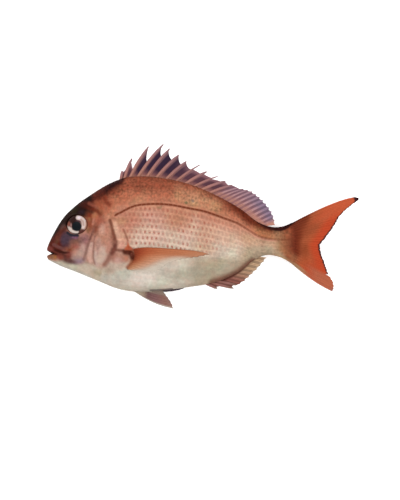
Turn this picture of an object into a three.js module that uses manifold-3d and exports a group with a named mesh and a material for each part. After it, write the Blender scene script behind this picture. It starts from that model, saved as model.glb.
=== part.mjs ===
// A whole raw red sea bream, lying on its right side with the left side up.
//
// Millimetres, +Z up. The head points to -X, the tail to +X and the back to +Y.
// The fish is one continuous piece: trunk, head and all its fins are one solid.
// The two eyeballs sit in their sockets as pieces of their own.
//
// Until the last step everything is in the fish's own frame: x runs back from the
// tip of the snout, y up from the level of the tail stem, and z out of the left
// side from the plane that halves the fish.

import * as THREE from 'three';
import { mergeVertices } from 'three/addons/utils/BufferGeometryUtils.js';
import Module from 'manifold-3d';

const wasm = await Module();
wasm.setup();

const { clamp, lerp, smoothstep, degToRad } = THREE.MathUtils;

// Driving dimensions of the trunk, as [distance behind the snout, size].

const TRUNK_LENGTH = 250;
const BACK_LINE = [
	[0, - 7.2], [6.4, 6], [17.2, 23.6], [26.8, 33.2], [44.6, 46.4], [63.8, 57.8], [80, 63.6], [97, 64.8],
	[124, 61.8], [149, 54.8], [172, 44.6], [195, 31.6], [212, 18.8], [225, 14.2], [236, 14.6], [250, 20.6],
];
const BELLY_LINE = [
	[0, - 17.8], [10, - 23], [32, - 31.8], [51, - 39.6], [73, - 48.2], [90, - 50.8], [121, - 48.8],
	[146, - 45.6], [170, - 41], [183, - 35.8], [196, - 28.4], [208, - 18.8], [219, - 14.4], [233, - 16],
	[250, - 25.4],
];
const HALF_WIDTHS = [
	[0, 5.4], [10, 9.4], [30, 14.8], [50, 18.6], [70, 20.5], [92, 21], [112, 20.5],
	[135, 18.5], [160, 14.8], [185, 10.6], [205, 7.6], [225, 5.2], [238, 3.2], [250, 0.9],
];
const SNOUT_ROUNDING = 2.8;
const TAIL_ROUNDING = 5;
const BACK_FULLNESS = 1.02; // power of the section's sine: 1 is an ellipse, less is fuller
const BELLY_FULLNESS = 0.84;

// How it lies: the right flank is pressed flat where it rests, and the tail sags under its own weight.

const RESTING_HEIGHT = 19.5; // of the middle plane above the surface
const TAIL_SAG = 8;
const SAG_START = 120;
const SAG_CURVE = 1.6;
const TOTAL_LENGTH = 313;

// Plates of the head. Each swells from one place along the fish to its full lift at another,
// and ends in a step at its outline.

const GILL_COVER = {
	lift: 1.1, from: 26, full: 58,
	outline: [
		[26, - 8], [42, 16], [56, 22], [63.6, 22], [65.6, 13.2], [67.6, 5], [70, 0.6], [67, - 4.7],
		[64.4, - 11], [61.8, - 18.7], [57, - 25], [49, - 30], [38, - 31.4], [28, - 28], [22, - 22],
	],
};
const CHEEK_PLATE = {
	lift: 1.9, from: 14, full: 46,
	outline: [
		[14, - 8], [26, 4], [44, 9], [49.6, 5], [48, - 4], [47.6, - 14], [48.4, - 20.5], [44, - 25.4],
		[36, - 26.6], [28, - 24.4], [18, - 17],
	],
};
const UPPER_JAW = {
	lift: 1.5, from: - 2, full: 6,
	outline: [
		[- 3, - 9], [2, - 6.4], [9, - 7.6], [17, - 10.4], [23.6, - 12.6], [25, - 16], [21, - 17.4],
		[12, - 13.6], [- 3, - 12],
	],
};
const LOWER_JAW = {
	lift: 1, from: - 2, full: 6,
	outline: [[- 3, - 13.6], [12, - 14.2], [20.4, - 17.6], [19, - 21.4], [10, - 20], [- 3, - 19]],
};
const MOUTH_CLEFT = [
	[- 3, - 10], [5.4, - 12.4], [20.6, - 15.6], [20.6, - 16.2], [5.4, - 13.1], [- 3, - 15.8],
];

const EYE = { x: 30.6, y: 16.2, radius: 11, depth: 6.5, proud: 3, gap: 0.3 };

// Fins. A spine is [where it is rooted along the fish, x of its tip, y of its tip, and how much
// of it the membrane behind it reaches]. Soft rays are rooted evenly between two places, and
// their tips lie evenly along a curve.

const MEMBRANE = 0.5; // thickness of the skin between rays
const ROOT_DEPTH = 4; // how far a fin's blade goes into the flesh
const DORSAL = {
	spines: [
		[75, 76, 70.4, 0.7], [78.6, 85.8, 83, 0.55], [84.4, 102.8, 95.2, 0.78], [92.4, 117.8, 97.6, 0.92],
		[101.4, 124, 93, 0.92], [111, 133.2, 86.8, 0.92], [121, 140.6, 80, 0.86], [131, 154.2, 76.6, 0.7],
		[140.4, 161, 69.6, 0.86], [149, 172, 64.9, 0.86], [157, 179.4, 60, 0.9], [164.6, 186.2, 56, 0.94],
	],
	softRoots: { count: 10, from: 171, to: 214 },
	softTips: [[192.4, 53.2], [204.8, 50.6], [214.6, 43.4], [222, 35.2], [227.2, 26], [227.6, 16.4]],
	base: 1,
	rows: 4,
};
const ANAL = {
	spines: [[161.5, 171, - 47.6, 0.9], [166.5, 187.6, - 47.4, 0.94], [172, 191, - 44, 0.97]],
	softRoots: { count: 8, from: 177.5, to: 214 },
	softTips: [[194, - 43], [198.6, - 40], [206.4, - 32.6], [213.8, - 25.2], [220.6, - 16.4]],
	base: - 1,
	rows: 3,
};
const SPINE_FRONT_REACH = 0.79; // how much of a spine the membrane before it reaches
const SPINE_THICKNESS = 2;
const RAY_THICKNESS = 1.1;
const TAIL = {
	rays: 17, rootX: 236, rootTop: 12.8, rootBottom: - 14,
	upperTip: [313, 43.4], upperEdgeBow: [282, 42.6], upperMarginBow: [297, 25.6],
	fork: [273.8, - 4],
	lowerTip: [287.2, - 51], lowerEdgeBow: [262.6, - 40], lowerMarginBow: [284, - 25],
	edgeBowFade: 5, // how soon the bow of the outer rays dies out towards the middle ones
	thickness: 2,
};
const PECTORAL = {
	rays: 10,
	roots: [[86.4, - 8], [88, - 17], [81, - 28]],
	upperBow: 4,
	tips: [
		[159.6, - 14.2], [149.6, - 16.4], [133.6, - 18.8], [121, - 24.7], [111.4, - 30.3], [99.3, - 31.4],
		[90, - 30.4],
	],
	standoffShown: 0.9, standoffBelow: 0.1, rise: 0.3, thickness: 1,
	lobe: { x: 76, y: - 18.6, length: 17, height: 20, thickness: 6.8, sunk: 1.2 },
};
const PELVIC = {
	root: [85.4, - 48.6], rootLength: 9, rootRise: 2.4, bow: - 0.05,
	spread: { from: - 25.4, to: - 4, lengths: [44.6, 40, 35, 31.4, 28.4, 26], out: 3.4, down: - 4.6 },
	folded: { from: - 1, to: 6, lengths: [36, 47, 51, 46, 38, 32], out: - 4.4, down: - 7.6 },
	thickness: 1.4, spineThickness: 2.6,
};

// Smooth size along the fish, from a few [place, size] pairs.
function sizeAlong( pairs ) {

	const places = pairs.map( ( pair ) => pair[ 0 ] );
	const sizes = pairs.map( ( pair ) => pair[ 1 ] );
	const curve = new THREE.CubicInterpolant( places, sizes, 1, new Float32Array( 1 ) );
	return ( place ) => curve.evaluate( clamp( place, places[ 0 ], places[ places.length - 1 ] ) )[ 0 ];

}

const backAt = sizeAlong( BACK_LINE );
const bellyAt = sizeAlong( BELLY_LINE );
const halfWidthAt = sizeAlong( HALF_WIDTHS );

// 0 at the very ends of the trunk and 1 past their rounding.
function endRounding( x ) {

	const snout = 1 - clamp( x / SNOUT_ROUNDING, 0, 1 );
	const tail = 1 - clamp( ( TRUNK_LENGTH - x ) / TAIL_ROUNDING, 0, 1 );
	return Math.sqrt( Math.max( 0, 1 - Math.max( snout, tail ) ** 2 ) );

}

// A point of the skin, or as far outside it as lift. A turn of 0 is the back ridge, PI is the
// belly ridge, and less than 0 is the right side.
function skinPoint( x, turn, lift = 0 ) {

	const round = endRounding( x );
	const middle = ( backAt( x ) + bellyAt( x ) ) / 2;
	const halfDepth = ( backAt( x ) - bellyAt( x ) ) / 2;
	const fullness = lerp( BACK_FULLNESS, BELLY_FULLNESS, ( 1 - Math.cos( turn ) ) / 2 );
	const side = Math.sign( turn ) * Math.abs( Math.sin( turn ) ) ** fullness;
	return new THREE.Vector3(
		x,
		middle + halfDepth * round * Math.cos( turn ),
		( halfWidthAt( x ) * round + lift * round ) * side,
	);

}

// The skin straight out of the middle plane at a point of the side view.
function skinOver( x, y, side ) {

	const middle = ( backAt( x ) + bellyAt( x ) ) / 2;
	const halfDepth = ( backAt( x ) - bellyAt( x ) ) / 2;
	const turn = Math.acos( clamp( ( y - middle ) / halfDepth, - 1, 1 ) );
	return skinPoint( x, side * turn );

}

// A closed geometry as a solid that can be joined and cut. Where moving the vertices has
// mirrored it, its faces are turned round, so that they point out again.
function solid( geometry ) {

	const bare = geometry.clone();
	bare.deleteAttribute( 'normal' );
	bare.deleteAttribute( 'uv' );
	const merged = mergeVertices( bare, 1e-4 );
	const vertProperties = merged.getAttribute( 'position' ).array;
	const triVerts = new Uint32Array( merged.index.array );
	const made = new wasm.Manifold( new wasm.Mesh( { numProp: 3, vertProperties, triVerts } ) );
	if ( made.volume() > 0 ) return made;
	return new wasm.Manifold( new wasm.Mesh( { numProp: 3, vertProperties, triVerts: triVerts.reverse() } ) );

}

// The surface of a solid, for a mesh.
function geometryOf( made ) {

	const mesh = made.getMesh();
	const geometry = new THREE.BufferGeometry();
	geometry.setAttribute( 'position', new THREE.BufferAttribute( mesh.vertProperties, 3 ) );
	geometry.setIndex( new THREE.BufferAttribute( mesh.triVerts, 1 ) );
	return geometry;

}

// Moves each vertex of a geometry to the place given for it.
function reshape( geometry, place ) {

	const position = geometry.getAttribute( 'position' );
	const point = new THREE.Vector3();
	for ( let i = 0; i < position.count; i ++ ) {

		const moved = place( point.fromBufferAttribute( position, i ) );
		position.setXYZ( i, moved.x, moved.y, moved.z );

	}

	return geometry;

}

// Trunk and head: a sphere's rings become sections of the fish, closest together at the head.

const RINGS = 40;
const RING_SIDES = 34;
const RING_EVENNESS = 0.55; // 0 crowds the rings at both ends, 1 spaces them evenly
const HEAD_CROWDING = 1.35;

function trunk( liftAt = () => 0 ) {

	const sphere = new THREE.SphereGeometry( 1, RING_SIDES, RINGS );
	return reshape( sphere, ( point ) => {

		const along = Math.acos( clamp( point.y, - 1, 1 ) ) / Math.PI;
		const eased = ( 1 - Math.cos( Math.PI * along ) ) / 2;
		const x = TRUNK_LENGTH * lerp( eased, along, RING_EVENNESS ) ** HEAD_CROWDING;
		const turn = Math.atan2( - point.x, point.z );
		return skinPoint( x, turn, liftAt( x ) );

	} );

}

// A straight prism with this side view, right through the fish.
const PRISM_THICKNESS = 80;

function throughPrism( outline ) {

	const shape = new THREE.Shape( outline.map( ( [ x, y ] ) => new THREE.Vector2( x, y ) ) );
	return new THREE.ExtrudeGeometry( shape, { depth: PRISM_THICKNESS, bevelEnabled: false } )
		.translate( 0, 0, - PRISM_THICKNESS / 2 );

}

// A head plate: the skin swollen towards the plate's rear edge, kept within the plate's outline,
// which is a smooth curve through its points.
const LEAST_LIFT = 0.02;

function headPlate( { lift, from, full, outline } ) {

	const swollen = trunk( ( x ) => lift * smoothstep( x, from, full ) + LEAST_LIFT );
	const curve = new THREE.CatmullRomCurve3( outline.map( ( [ x, y ] ) => new THREE.Vector3( x, y ) ), true );
	const edge = curve.getPoints( outline.length * 2 ).slice( 1 ).map( ( point ) => [ point.x, point.y ] );
	return solid( swollen ).intersect( solid( throughPrism( edge ) ) );

}

// A fin blade across its rays, standing on the z axis. place( stop, share ) gives the point that
// far up the fin, where a stop counts rays and may lie between two. reach says how high the
// membrane comes close behind a ray and close before it, as a share of the rays there.
const RIDGE_SHARE = 0.16; // of the way to the next ray, where a ray's ridge runs out
const SOFT_REACH = { behind: () => 0.985, before: () => 0.965 };

function finBlade( { rays, place, rayThickness, reach, rows } ) {

	const stops = [ 0 ];
	for ( let ray = 1; ray < rays; ray ++ ) stops.push( ray - 1 + RIDGE_SHARE, ray - RIDGE_SHARE, ray );
	const columns = stops.length - 1;
	const box = new THREE.BoxGeometry( 1, 1, 1, columns, rows, 1 );
	return reshape( box, ( point ) => {

		const stop = stops[ Math.round( ( point.x + 0.5 ) * columns ) ];
		const up = point.y + 0.5;
		const ray = Math.round( stop );
		const across = Math.sign( stop - ray );
		const height = across === 0 ? 1 : across > 0 ? reach.behind( ray ) : reach.before( ray );
		const thickness = across === 0 ? rayThickness( ray, up ) : MEMBRANE;
		const middle = place( stop, up * height );
		middle.z += Math.sign( point.z ) * thickness / 2;
		return middle;

	} );

}

// The point part of the way up a ray, mixed between two neighbouring rays.
function betweenRays( rayPoint ) {

	return ( stop, share ) => {

		const before = Math.floor( stop );
		const after = Math.ceil( stop );
		return rayPoint( before, share ).lerp( rayPoint( after, share ), stop - before );

	};

}

// Ray tips at even steps along a curve through these points.
function tipsAlong( points, count ) {

	const curve = new THREE.CatmullRomCurve3( points.map( ( [ x, y ] ) => new THREE.Vector3( x, y ) ) );
	return Array.from( { length: count }, ( _, i ) => curve.getPointAt( i / ( count - 1 ) ) );

}

// The fin along the back or under the tail: stiff spines in front and soft rays behind.
function medianFin( { spines, softRoots, softTips, base, rows } ) {

	const lineAt = base > 0 ? backAt : bellyAt;
	const rayOf = ( rootX, tip ) => {

		const root = new THREE.Vector3( rootX, lineAt( rootX ), 0 );
		const inward = root.clone().sub( tip ).setLength( ROOT_DEPTH );
		return { root: root.add( inward ), tip };

	};

	const spineRays = spines.map( ( [ rootX, x, y ] ) => rayOf( rootX, new THREE.Vector3( x, y, 0 ) ) );
	const softRays = tipsAlong( softTips, softRoots.count ).map( ( tip, i ) => {

		return rayOf( lerp( softRoots.from, softRoots.to, i / ( softRoots.count - 1 ) ), tip );

	} );
	const rays = [ ...spineRays, ...softRays ];
	const isSpine = ( ray ) => ray < spines.length;
	return finBlade( {
		rays: rays.length,
		place: betweenRays( ( ray, share ) => rays[ ray ].root.clone().lerp( rays[ ray ].tip, share ) ),
		reach: {
			behind: ( ray ) => isSpine( ray ) ? spines[ ray ][ 3 ] : SOFT_REACH.behind(),
			before: ( ray ) => isSpine( ray ) ? SPINE_FRONT_REACH : SOFT_REACH.before(),
		},
		rayThickness: ( ray, up ) => lerp( isSpine( ray ) ? SPINE_THICKNESS : RAY_THICKNESS, MEMBRANE, up ),
		rows,
	} );

}

// The forked tail: rays fan out from the stem, and their tips lie on the two lobes' rear margins.
function tailFin() {

	const vector = ( [ x, y ] ) => new THREE.Vector2( x, y );
	const margin = ( ...points ) => new THREE.QuadraticBezierCurve( ...points.map( vector ) );
	const upperMargin = margin( TAIL.upperTip, TAIL.upperMarginBow, TAIL.fork );
	const lowerMargin = margin( TAIL.fork, TAIL.lowerMarginBow, TAIL.lowerTip );
	const last = TAIL.rays - 1;
	const forkRay = last / 2;
	const rayPoint = ( ray, share ) => {

		const down = ray / last;
		const root = new THREE.Vector2( TAIL.rootX, lerp( TAIL.rootTop, TAIL.rootBottom, down ) );
		const tip = ray <= forkRay
			? upperMargin.getPointAt( ray / forkRay )
			: lowerMargin.getPointAt( ( ray - forkRay ) / forkRay );
		const edgeBow = vector( down < 0.5 ? TAIL.upperEdgeBow : TAIL.lowerEdgeBow );
		const bow = root.clone().lerp( tip, 0.5 ).lerp( edgeBow, Math.abs( 2 * down - 1 ) ** TAIL.edgeBowFade );
		const point = new THREE.QuadraticBezierCurve( root, bow, tip ).getPoint( share );
		return new THREE.Vector3( point.x, point.y, 0 );

	};

	return finBlade( {
		rays: TAIL.rays,
		place: betweenRays( rayPoint ),
		reach: SOFT_REACH,
		rayThickness: ( ray, up ) => lerp( TAIL.thickness, MEMBRANE, Math.sqrt( up ) ),
		rows: 5,
	} );

}

// A pectoral fin lies back along the flank that it grows from. The lower one is pressed to the skin.
function pectoralFin( side ) {

	const last = PECTORAL.rays - 1;
	const roots = tipsAlong( PECTORAL.roots, PECTORAL.rays );
	const tips = tipsAlong( PECTORAL.tips, PECTORAL.rays );
	const standoff = side > 0 ? PECTORAL.standoffShown : PECTORAL.standoffBelow;
	const rayPoint = ( ray, share ) => {

		const flat = roots[ ray ].clone().lerp( tips[ ray ], share );
		flat.y += PECTORAL.upperBow * ( 1 - ray / last ) * Math.sin( Math.PI * Math.sqrt( share ) );
		const skin = skinOver( flat.x, flat.y, side );
		skin.z += side * standoff * smoothstep( share, 0, PECTORAL.rise );
		return skin;

	};

	const blade = finBlade( {
		rays: PECTORAL.rays,
		place: betweenRays( rayPoint ),
		reach: SOFT_REACH,
		rayThickness: ( ray, up ) => lerp( PECTORAL.thickness, MEMBRANE, up ),
		rows: 5,
	} );
	const { x, y, length, height, thickness, sunk } = PECTORAL.lobe;
	const lobe = new THREE.SphereGeometry( 0.5, 16, 10 ).scale( length, height, thickness );
	const lobeAt = skinOver( x, y, side );
	lobe.translate( lobeAt.x, lobeAt.y, lobeAt.z - side * sunk );
	return solid( blade ).add( solid( lobe ) );

}

// The left pelvic fin is spread below the belly, and the right one is folded back along it.
function pelvicFin( side ) {

	const { from, to, lengths, out, down } = side > 0 ? PELVIC.spread : PELVIC.folded;
	const last = lengths.length - 1;
	const rayPoint = ( ray, share ) => {

		const along = ray / last;
		const straight = new THREE.Vector2( lengths[ ray ] * share, 0 );
		straight.y = PELVIC.bow * lengths[ ray ] * Math.sin( Math.PI * share );
		straight.rotateAround( new THREE.Vector2(), degToRad( lerp( from, to, along ) ) );
		return new THREE.Vector3(
			PELVIC.root[ 0 ] + PELVIC.rootLength * along + straight.x,
			PELVIC.root[ 1 ] + PELVIC.rootRise * along + straight.y,
			lerp( out, down, share ),
		);

	};

	return solid( finBlade( {
		rays: lengths.length,
		place: betweenRays( rayPoint ),
		reach: SOFT_REACH,
		rayThickness: ( ray, up ) => lerp( ray ? PELVIC.thickness : PELVIC.spineThickness, MEMBRANE, up ),
		rows: 4,
	} ) );

}

// An eyeball looks straight out of the head, and stands a little proud of the skin.
function eyeball( side, gap = 0 ) {

	const { x, y, radius, depth, proud } = EYE;
	const step = 0.5;
	const along = skinOver( x + step, y, side ).sub( skinOver( x - step, y, side ) );
	const up = skinOver( x, y + step, side ).sub( skinOver( x, y - step, side ) );
	const outward = along.cross( up ).normalize().multiplyScalar( side );
	const centre = skinOver( x, y, side ).addScaledVector( outward, proud - depth );
	const turn = new THREE.Quaternion().setFromUnitVectors( new THREE.Vector3( 0, 0, 1 ), outward );
	return new THREE.SphereGeometry( 1, 22, 12 )
		.rotateX( Math.PI / 2 )
		.scale( radius + gap, radius + gap, depth + gap )
		.applyQuaternion( turn )
		.translate( centre.x, centre.y, centre.z );

}

// Lays the fish down: the middle plane sags towards the tail, and z 0 becomes the surface below.
function laidDown( geometry ) {

	const position = geometry.getAttribute( 'position' );
	for ( let i = 0; i < position.count; i ++ ) {

		const past = clamp( ( position.getX( i ) - SAG_START ) / ( TOTAL_LENGTH - SAG_START ), 0, 1 );
		position.setZ( i, position.getZ( i ) + RESTING_HEIGHT - TAIL_SAG * past ** SAG_CURVE );

	}

	return geometry;

}

// The whole fish but its eyes, joined into one piece and laid on its right side.
function fish() {

	const sides = [ 1, - 1 ];
	let made = solid( trunk() );
	const plates = [ GILL_COVER, CHEEK_PLATE, UPPER_JAW, LOWER_JAW ];
	for ( const plate of plates ) made = made.add( headPlate( plate ) );
	made = made.subtract( solid( throughPrism( MOUTH_CLEFT ) ) );
	const middleFins = [ medianFin( DORSAL ), medianFin( ANAL ), tailFin() ];
	for ( const fin of middleFins ) made = made.add( solid( fin ) );
	for ( const side of sides ) made = made.add( pectoralFin( side ) ).add( pelvicFin( side ) );
	for ( const side of sides ) made = made.subtract( solid( eyeball( side, EYE.gap ) ) );
	const below = new THREE.BoxGeometry( 2 * TOTAL_LENGTH, TOTAL_LENGTH, PRISM_THICKNESS )
		.translate( TOTAL_LENGTH / 2, 0, - PRISM_THICKNESS / 2 );
	return solid( laidDown( geometryOf( made ) ) ).subtract( solid( below ) );

}

const skin = new THREE.MeshStandardMaterial( { color: 0xcf8f74, roughness: 0.35, metalness: 0 } );
const eye = new THREE.MeshStandardMaterial( { color: 0xd9c8c2, roughness: 0.12, metalness: 0 } );

const fishMesh = new THREE.Mesh( geometryOf( fish() ), skin );
fishMesh.name = 'fish';
const leftEye = new THREE.Mesh( laidDown( eyeball( 1 ) ), eye );
leftEye.name = 'eye_left';
const rightEye = new THREE.Mesh( laidDown( eyeball( - 1 ) ), eye );
rightEye.name = 'eye_right';

// The part's origin is under the middle of the fish, on the surface that it lies on.
const bream = new THREE.Group();
bream.add( fishMesh, leftEye, rightEye );
const outer = new THREE.Box3().setFromObject( bream );
const centre = outer.getCenter( new THREE.Vector3() );
bream.position.set( - centre.x, - centre.y, 0 );

export default bream;
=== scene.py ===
"""A whole raw red sea bream, lying on its right side, seen from above."""
import math

import bmesh
import bpy
import numpy as np
from mathutils import Matrix, Vector


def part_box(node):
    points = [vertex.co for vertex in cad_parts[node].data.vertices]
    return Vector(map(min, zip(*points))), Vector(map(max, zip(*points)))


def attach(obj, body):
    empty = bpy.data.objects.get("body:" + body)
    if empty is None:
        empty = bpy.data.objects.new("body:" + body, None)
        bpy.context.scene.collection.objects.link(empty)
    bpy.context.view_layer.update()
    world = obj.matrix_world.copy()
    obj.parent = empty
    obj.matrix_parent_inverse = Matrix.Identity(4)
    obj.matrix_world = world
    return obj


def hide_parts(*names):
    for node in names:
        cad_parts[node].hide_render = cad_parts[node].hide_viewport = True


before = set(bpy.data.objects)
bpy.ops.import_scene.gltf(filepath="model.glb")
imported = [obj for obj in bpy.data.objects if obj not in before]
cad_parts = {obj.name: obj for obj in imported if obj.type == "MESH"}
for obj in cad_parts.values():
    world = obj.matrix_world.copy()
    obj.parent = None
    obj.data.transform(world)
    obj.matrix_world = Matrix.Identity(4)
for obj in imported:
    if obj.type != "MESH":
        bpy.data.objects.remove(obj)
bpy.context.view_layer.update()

bl_info = {
    "name": "Raw Sea Bream",
    "version": (1, 0, 0),
    "blender": (4, 5, 0),
    "location": "View3D > Sidebar > Bream",
    "description": "Builds a whole raw red sea bream around its packed solids",
    "category": "Add Mesh",
}

MM = 0.001
SIDES = ((1, "left"), (-1, "right"))

# The fish's own frame, in millimetres: x runs back from the snout, y up from the level of the
# tail stem, and z out of the left side from the plane that halves the fish.

TOTAL_LENGTH = 313.0
HIGHEST_SPINE = 97.6
TRUNK_LENGTH = 250.0
BACK_LINE = [
    (0, -7.2), (6.4, 6), (17.2, 23.6), (26.8, 33.2), (44.6, 46.4), (63.8, 57.8), (80, 63.6), (97, 64.8),
    (124, 61.8), (149, 54.8), (172, 44.6), (195, 31.6), (212, 18.8), (225, 14.2), (236, 14.6), (250, 20.6),
]
BELLY_LINE = [
    (0, -17.8), (10, -23), (32, -31.8), (51, -39.6), (73, -48.2), (90, -50.8), (121, -48.8), (146, -45.6),
    (170, -41), (183, -35.8), (196, -28.4), (208, -18.8), (219, -14.4), (233, -16), (250, -25.4),
]
HALF_WIDTHS = [
    (0, 5.4), (10, 9.4), (30, 14.8), (50, 18.6), (70, 20.5), (92, 21), (112, 20.5), (135, 18.5),
    (160, 14.8), (185, 10.6), (205, 7.6), (225, 5.0), (238, 2.5), (250, 0.5),
]
SNOUT_ROUNDING = 2.8
TAIL_ROUNDING = 5.0
BACK_FULLNESS = 1.02
BELLY_FULLNESS = 0.84
RESTING_HEIGHT = 19.5
TAIL_SAG = 8.0
SAG_START = 120.0
SAG_CURVE = 1.6

fish_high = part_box("fish")[1]
MIDDLE_X = TOTAL_LENGTH - fish_high.x / MM
MIDDLE_Y = HIGHEST_SPINE - fish_high.y / MM

# Lines and plates of the head and flank, in the same frame.

LATERAL_LINE = [
    (60, 18.6), (69.2, 25.4), (76.4, 29), (84, 33), (91.1, 35.3), (99.3, 36.4), (107, 36.7), (114.6, 36.7),
    (122.3, 36.1), (129.9, 35), (143.6, 32.3), (158.6, 29.3), (179.6, 22), (191.6, 17.4), (202.6, 10.6),
    (213.6, 4.4), (233, 1.4), (250, 1.8),
]
# The scales' rows run with this line. Behind the shoulder it is the lateral line.
ROW_LINE = [
    (0, 34), (60, 38), (94, 37.4), (114, 36.8), (129.9, 35), (143.6, 32.3), (158.6, 29.3), (179.6, 22),
    (191.6, 17.4), (202.6, 10.6), (213.6, 4.4), (233, 1.4), (250, 1.8),
]
ROW_GAPS = [(60, 5.7), (94, 5.7), (150, 6.0), (200, 4.6), (250, 3.0)]
ROW_GAPS_ABOVE = [(60, 4.4), (150, 4.2), (200, 3.6), (250, 3.0)]
COLUMN_GAPS = [(0, 4.3), (150, 4.25), (200, 3.7), (250, 3.0)]

GILL_COVER = [
    (26, -8), (42, 16), (56, 22), (63.6, 22), (65.6, 13.2), (67.4, 7), (69, 2.2), (69, -3.4),
    (66.6, -9.4), (63.6, -15.6), (60.6, -21.2), (56, -26), (49, -30), (38, -31.4), (28, -28), (22, -22),
]
CHEEK_PLATE = [
    (14, -8), (26, 4), (44, 9), (47.2, 12), (46.4, 6), (43.4, -1), (41, -8), (39.4, -14), (37.6, -18.4),
    (34, -22.6), (27, -23.4), (18, -18),
]
GILL_LOBE = [
    (49, 4.6), (48, -3), (47.2, -9), (47.2, -14), (47.9, -18.6), (49, -22.4), (53, -24.6), (57.4, -23.4),
    (60.4, -20), (63.4, -13.6), (66, -6.8), (68, -2), (65, 6), (58, 12),
]
EYE_CENTRE = (31.2, 16.2)
EYE_HALF_SIZES = (10.8, 9.4)
NOSTRILS = [(16.2, 14.4, 0.8), (18.6, 16.6, 1.1)]


def smooth_line(pairs):
    """The size at any place along the fish, through the given places and sizes."""
    places, sizes = np.array(pairs, float).T
    slopes = np.gradient(sizes, places)

    def at(place):
        place = np.clip(place, places[0], places[-1])
        i = np.clip(np.searchsorted(places, place) - 1, 0, len(places) - 2)
        gap = places[i + 1] - places[i]
        t = (place - places[i]) / gap
        start = (2 * t ** 3 - 3 * t ** 2 + 1) * sizes[i] + (t ** 3 - 2 * t ** 2 + t) * gap * slopes[i]
        return start + (3 * t ** 2 - 2 * t ** 3) * sizes[i + 1] + (t ** 3 - t ** 2) * gap * slopes[i + 1]

    return at


def blend_in(value, low, high):
    """0 up to low, 1 from high on, and smooth between. With high under low it falls instead."""
    t = np.clip((np.asarray(value, float) - low) / (high - low), 0, 1)
    return t * t * (3 - 2 * t)


def mix(a, b, share):
    """a where the share is 0, and b where it is 1."""
    return a + (b - a) * share


def smooth_path(points, closed=False, steps=6):
    """A path through the points with its corners rounded, as an array."""
    p = np.array(points, float)
    n = len(p)
    count = n if closed else n - 1
    made = []
    for i in range(count):
        if closed:
            a, b, c, d = p[(i - 1) % n], p[i], p[(i + 1) % n], p[(i + 2) % n]
        else:
            a, b, c, d = p[max(i - 1, 0)], p[i], p[i + 1], p[min(i + 2, n - 1)]
        for k in range(steps):
            t = k / steps
            made.append(0.5 * (2 * b + (c - a) * t + (2 * a - 5 * b + 4 * c - d) * t ** 2
                               + (3 * b - a - 3 * c + d) * t ** 3))
    if not closed:
        made.append(p[-1])
    return np.array(made)


def path_point(points, share):
    """The point that share of the way along a smooth path through the points."""
    path = smooth_path(points, steps=12)
    lengths = np.concatenate([[0], np.cumsum(np.linalg.norm(np.diff(path, axis=0), axis=1))])
    at = np.clip(share, 0, 1) * lengths[-1]
    return np.array([np.interp(at, lengths, path[:, k]) for k in range(path.shape[1])])


def distance_to(x, y, path, closed=False):
    """How far each point is from a path."""
    ends = np.roll(path, -1, axis=0) if closed else path[1:]
    starts = path if closed else path[:-1]
    nearest = np.full(np.shape(x), 1e9)
    for (ax, ay), (bx, by) in zip(starts, ends):
        dx, dy = bx - ax, by - ay
        t = np.clip(((x - ax) * dx + (y - ay) * dy) / (dx * dx + dy * dy + 1e-12), 0, 1)
        nearest = np.minimum(nearest, np.hypot(x - ax - t * dx, y - ay - t * dy))
    return nearest


def inside_by(x, y, outline):
    """How far each point is inside a rounded outline. Outside it is negative."""
    path = smooth_path(outline, closed=True)
    crossings = np.zeros(np.shape(x), bool)
    for (ax, ay), (bx, by) in zip(path, np.roll(path, -1, axis=0)):
        crossing = (ay > y) != (by > y)
        crossings ^= crossing & (x < (bx - ax) * (y - ay) / (by - ay + 1e-12) + ax)
    return np.where(crossings, 1, -1) * distance_to(x, y, path, closed=True)


def stroke(x, y, points, width, fade):
    """1 along a path, out to half its width, and then fading to 0."""
    far = distance_to(x, y, smooth_path(points))
    return 1 - blend_in(far, width / 2, width / 2 + fade)


def spot(x, y, centre, half_sizes, fade, turned=0.0):
    """1 inside an ellipse and fading to 0 outside it. fade is a share of its size."""
    c, s = math.cos(math.radians(turned)), math.sin(math.radians(turned))
    dx, dy = x - centre[0], y - centre[1]
    r = np.hypot((dx * c + dy * s) / half_sizes[0], (dy * c - dx * s) / half_sizes[1])
    return 1 - blend_in(r, 1 - fade, 1 + fade)


back_at = smooth_line(BACK_LINE)
belly_at = smooth_line(BELLY_LINE)
half_width_at = smooth_line(HALF_WIDTHS)
lateral_line_at = smooth_line(LATERAL_LINE)
row_line_at = smooth_line(ROW_LINE)
row_gap_at = smooth_line(ROW_GAPS)
row_gap_above_at = smooth_line(ROW_GAPS_ABOVE)
column_steps = np.arange(0, TRUNK_LENGTH + 1.0)
column_counts = np.cumsum(1 / smooth_line(COLUMN_GAPS)(column_steps))


def section_at(x):
    """The height of a section's middle, and half its depth."""
    back, belly = back_at(x), belly_at(x)
    return (back + belly) / 2, (back - belly) / 2


def skin_at(x, turn):
    """Points of the bare skin. A turn of 0 is the back, pi the belly, and less than 0 the right side."""
    snout = 1 - np.clip(x / SNOUT_ROUNDING, 0, 1)
    tail = 1 - np.clip((TRUNK_LENGTH - x) / TAIL_ROUNDING, 0, 1)
    rounding = np.sqrt(np.maximum(0, 1 - np.maximum(snout, tail) ** 2))
    middle, half_depth = section_at(x)
    fullness = mix(BACK_FULLNESS, BELLY_FULLNESS, (1 - np.cos(turn)) / 2)
    side = np.sign(turn) * np.abs(np.sin(turn)) ** fullness
    return np.stack([x + 0 * turn, middle + half_depth * rounding * np.cos(turn),
                     half_width_at(x) * rounding * side], axis=-1)


def skin_over(x, y, side):
    """The skin straight out of the middle plane at places of the side view."""
    middle, half_depth = section_at(x)
    turn = np.arccos(np.clip((y - middle) / half_depth, -1, 1))
    return skin_at(np.asarray(x, float), side * turn)


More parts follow.
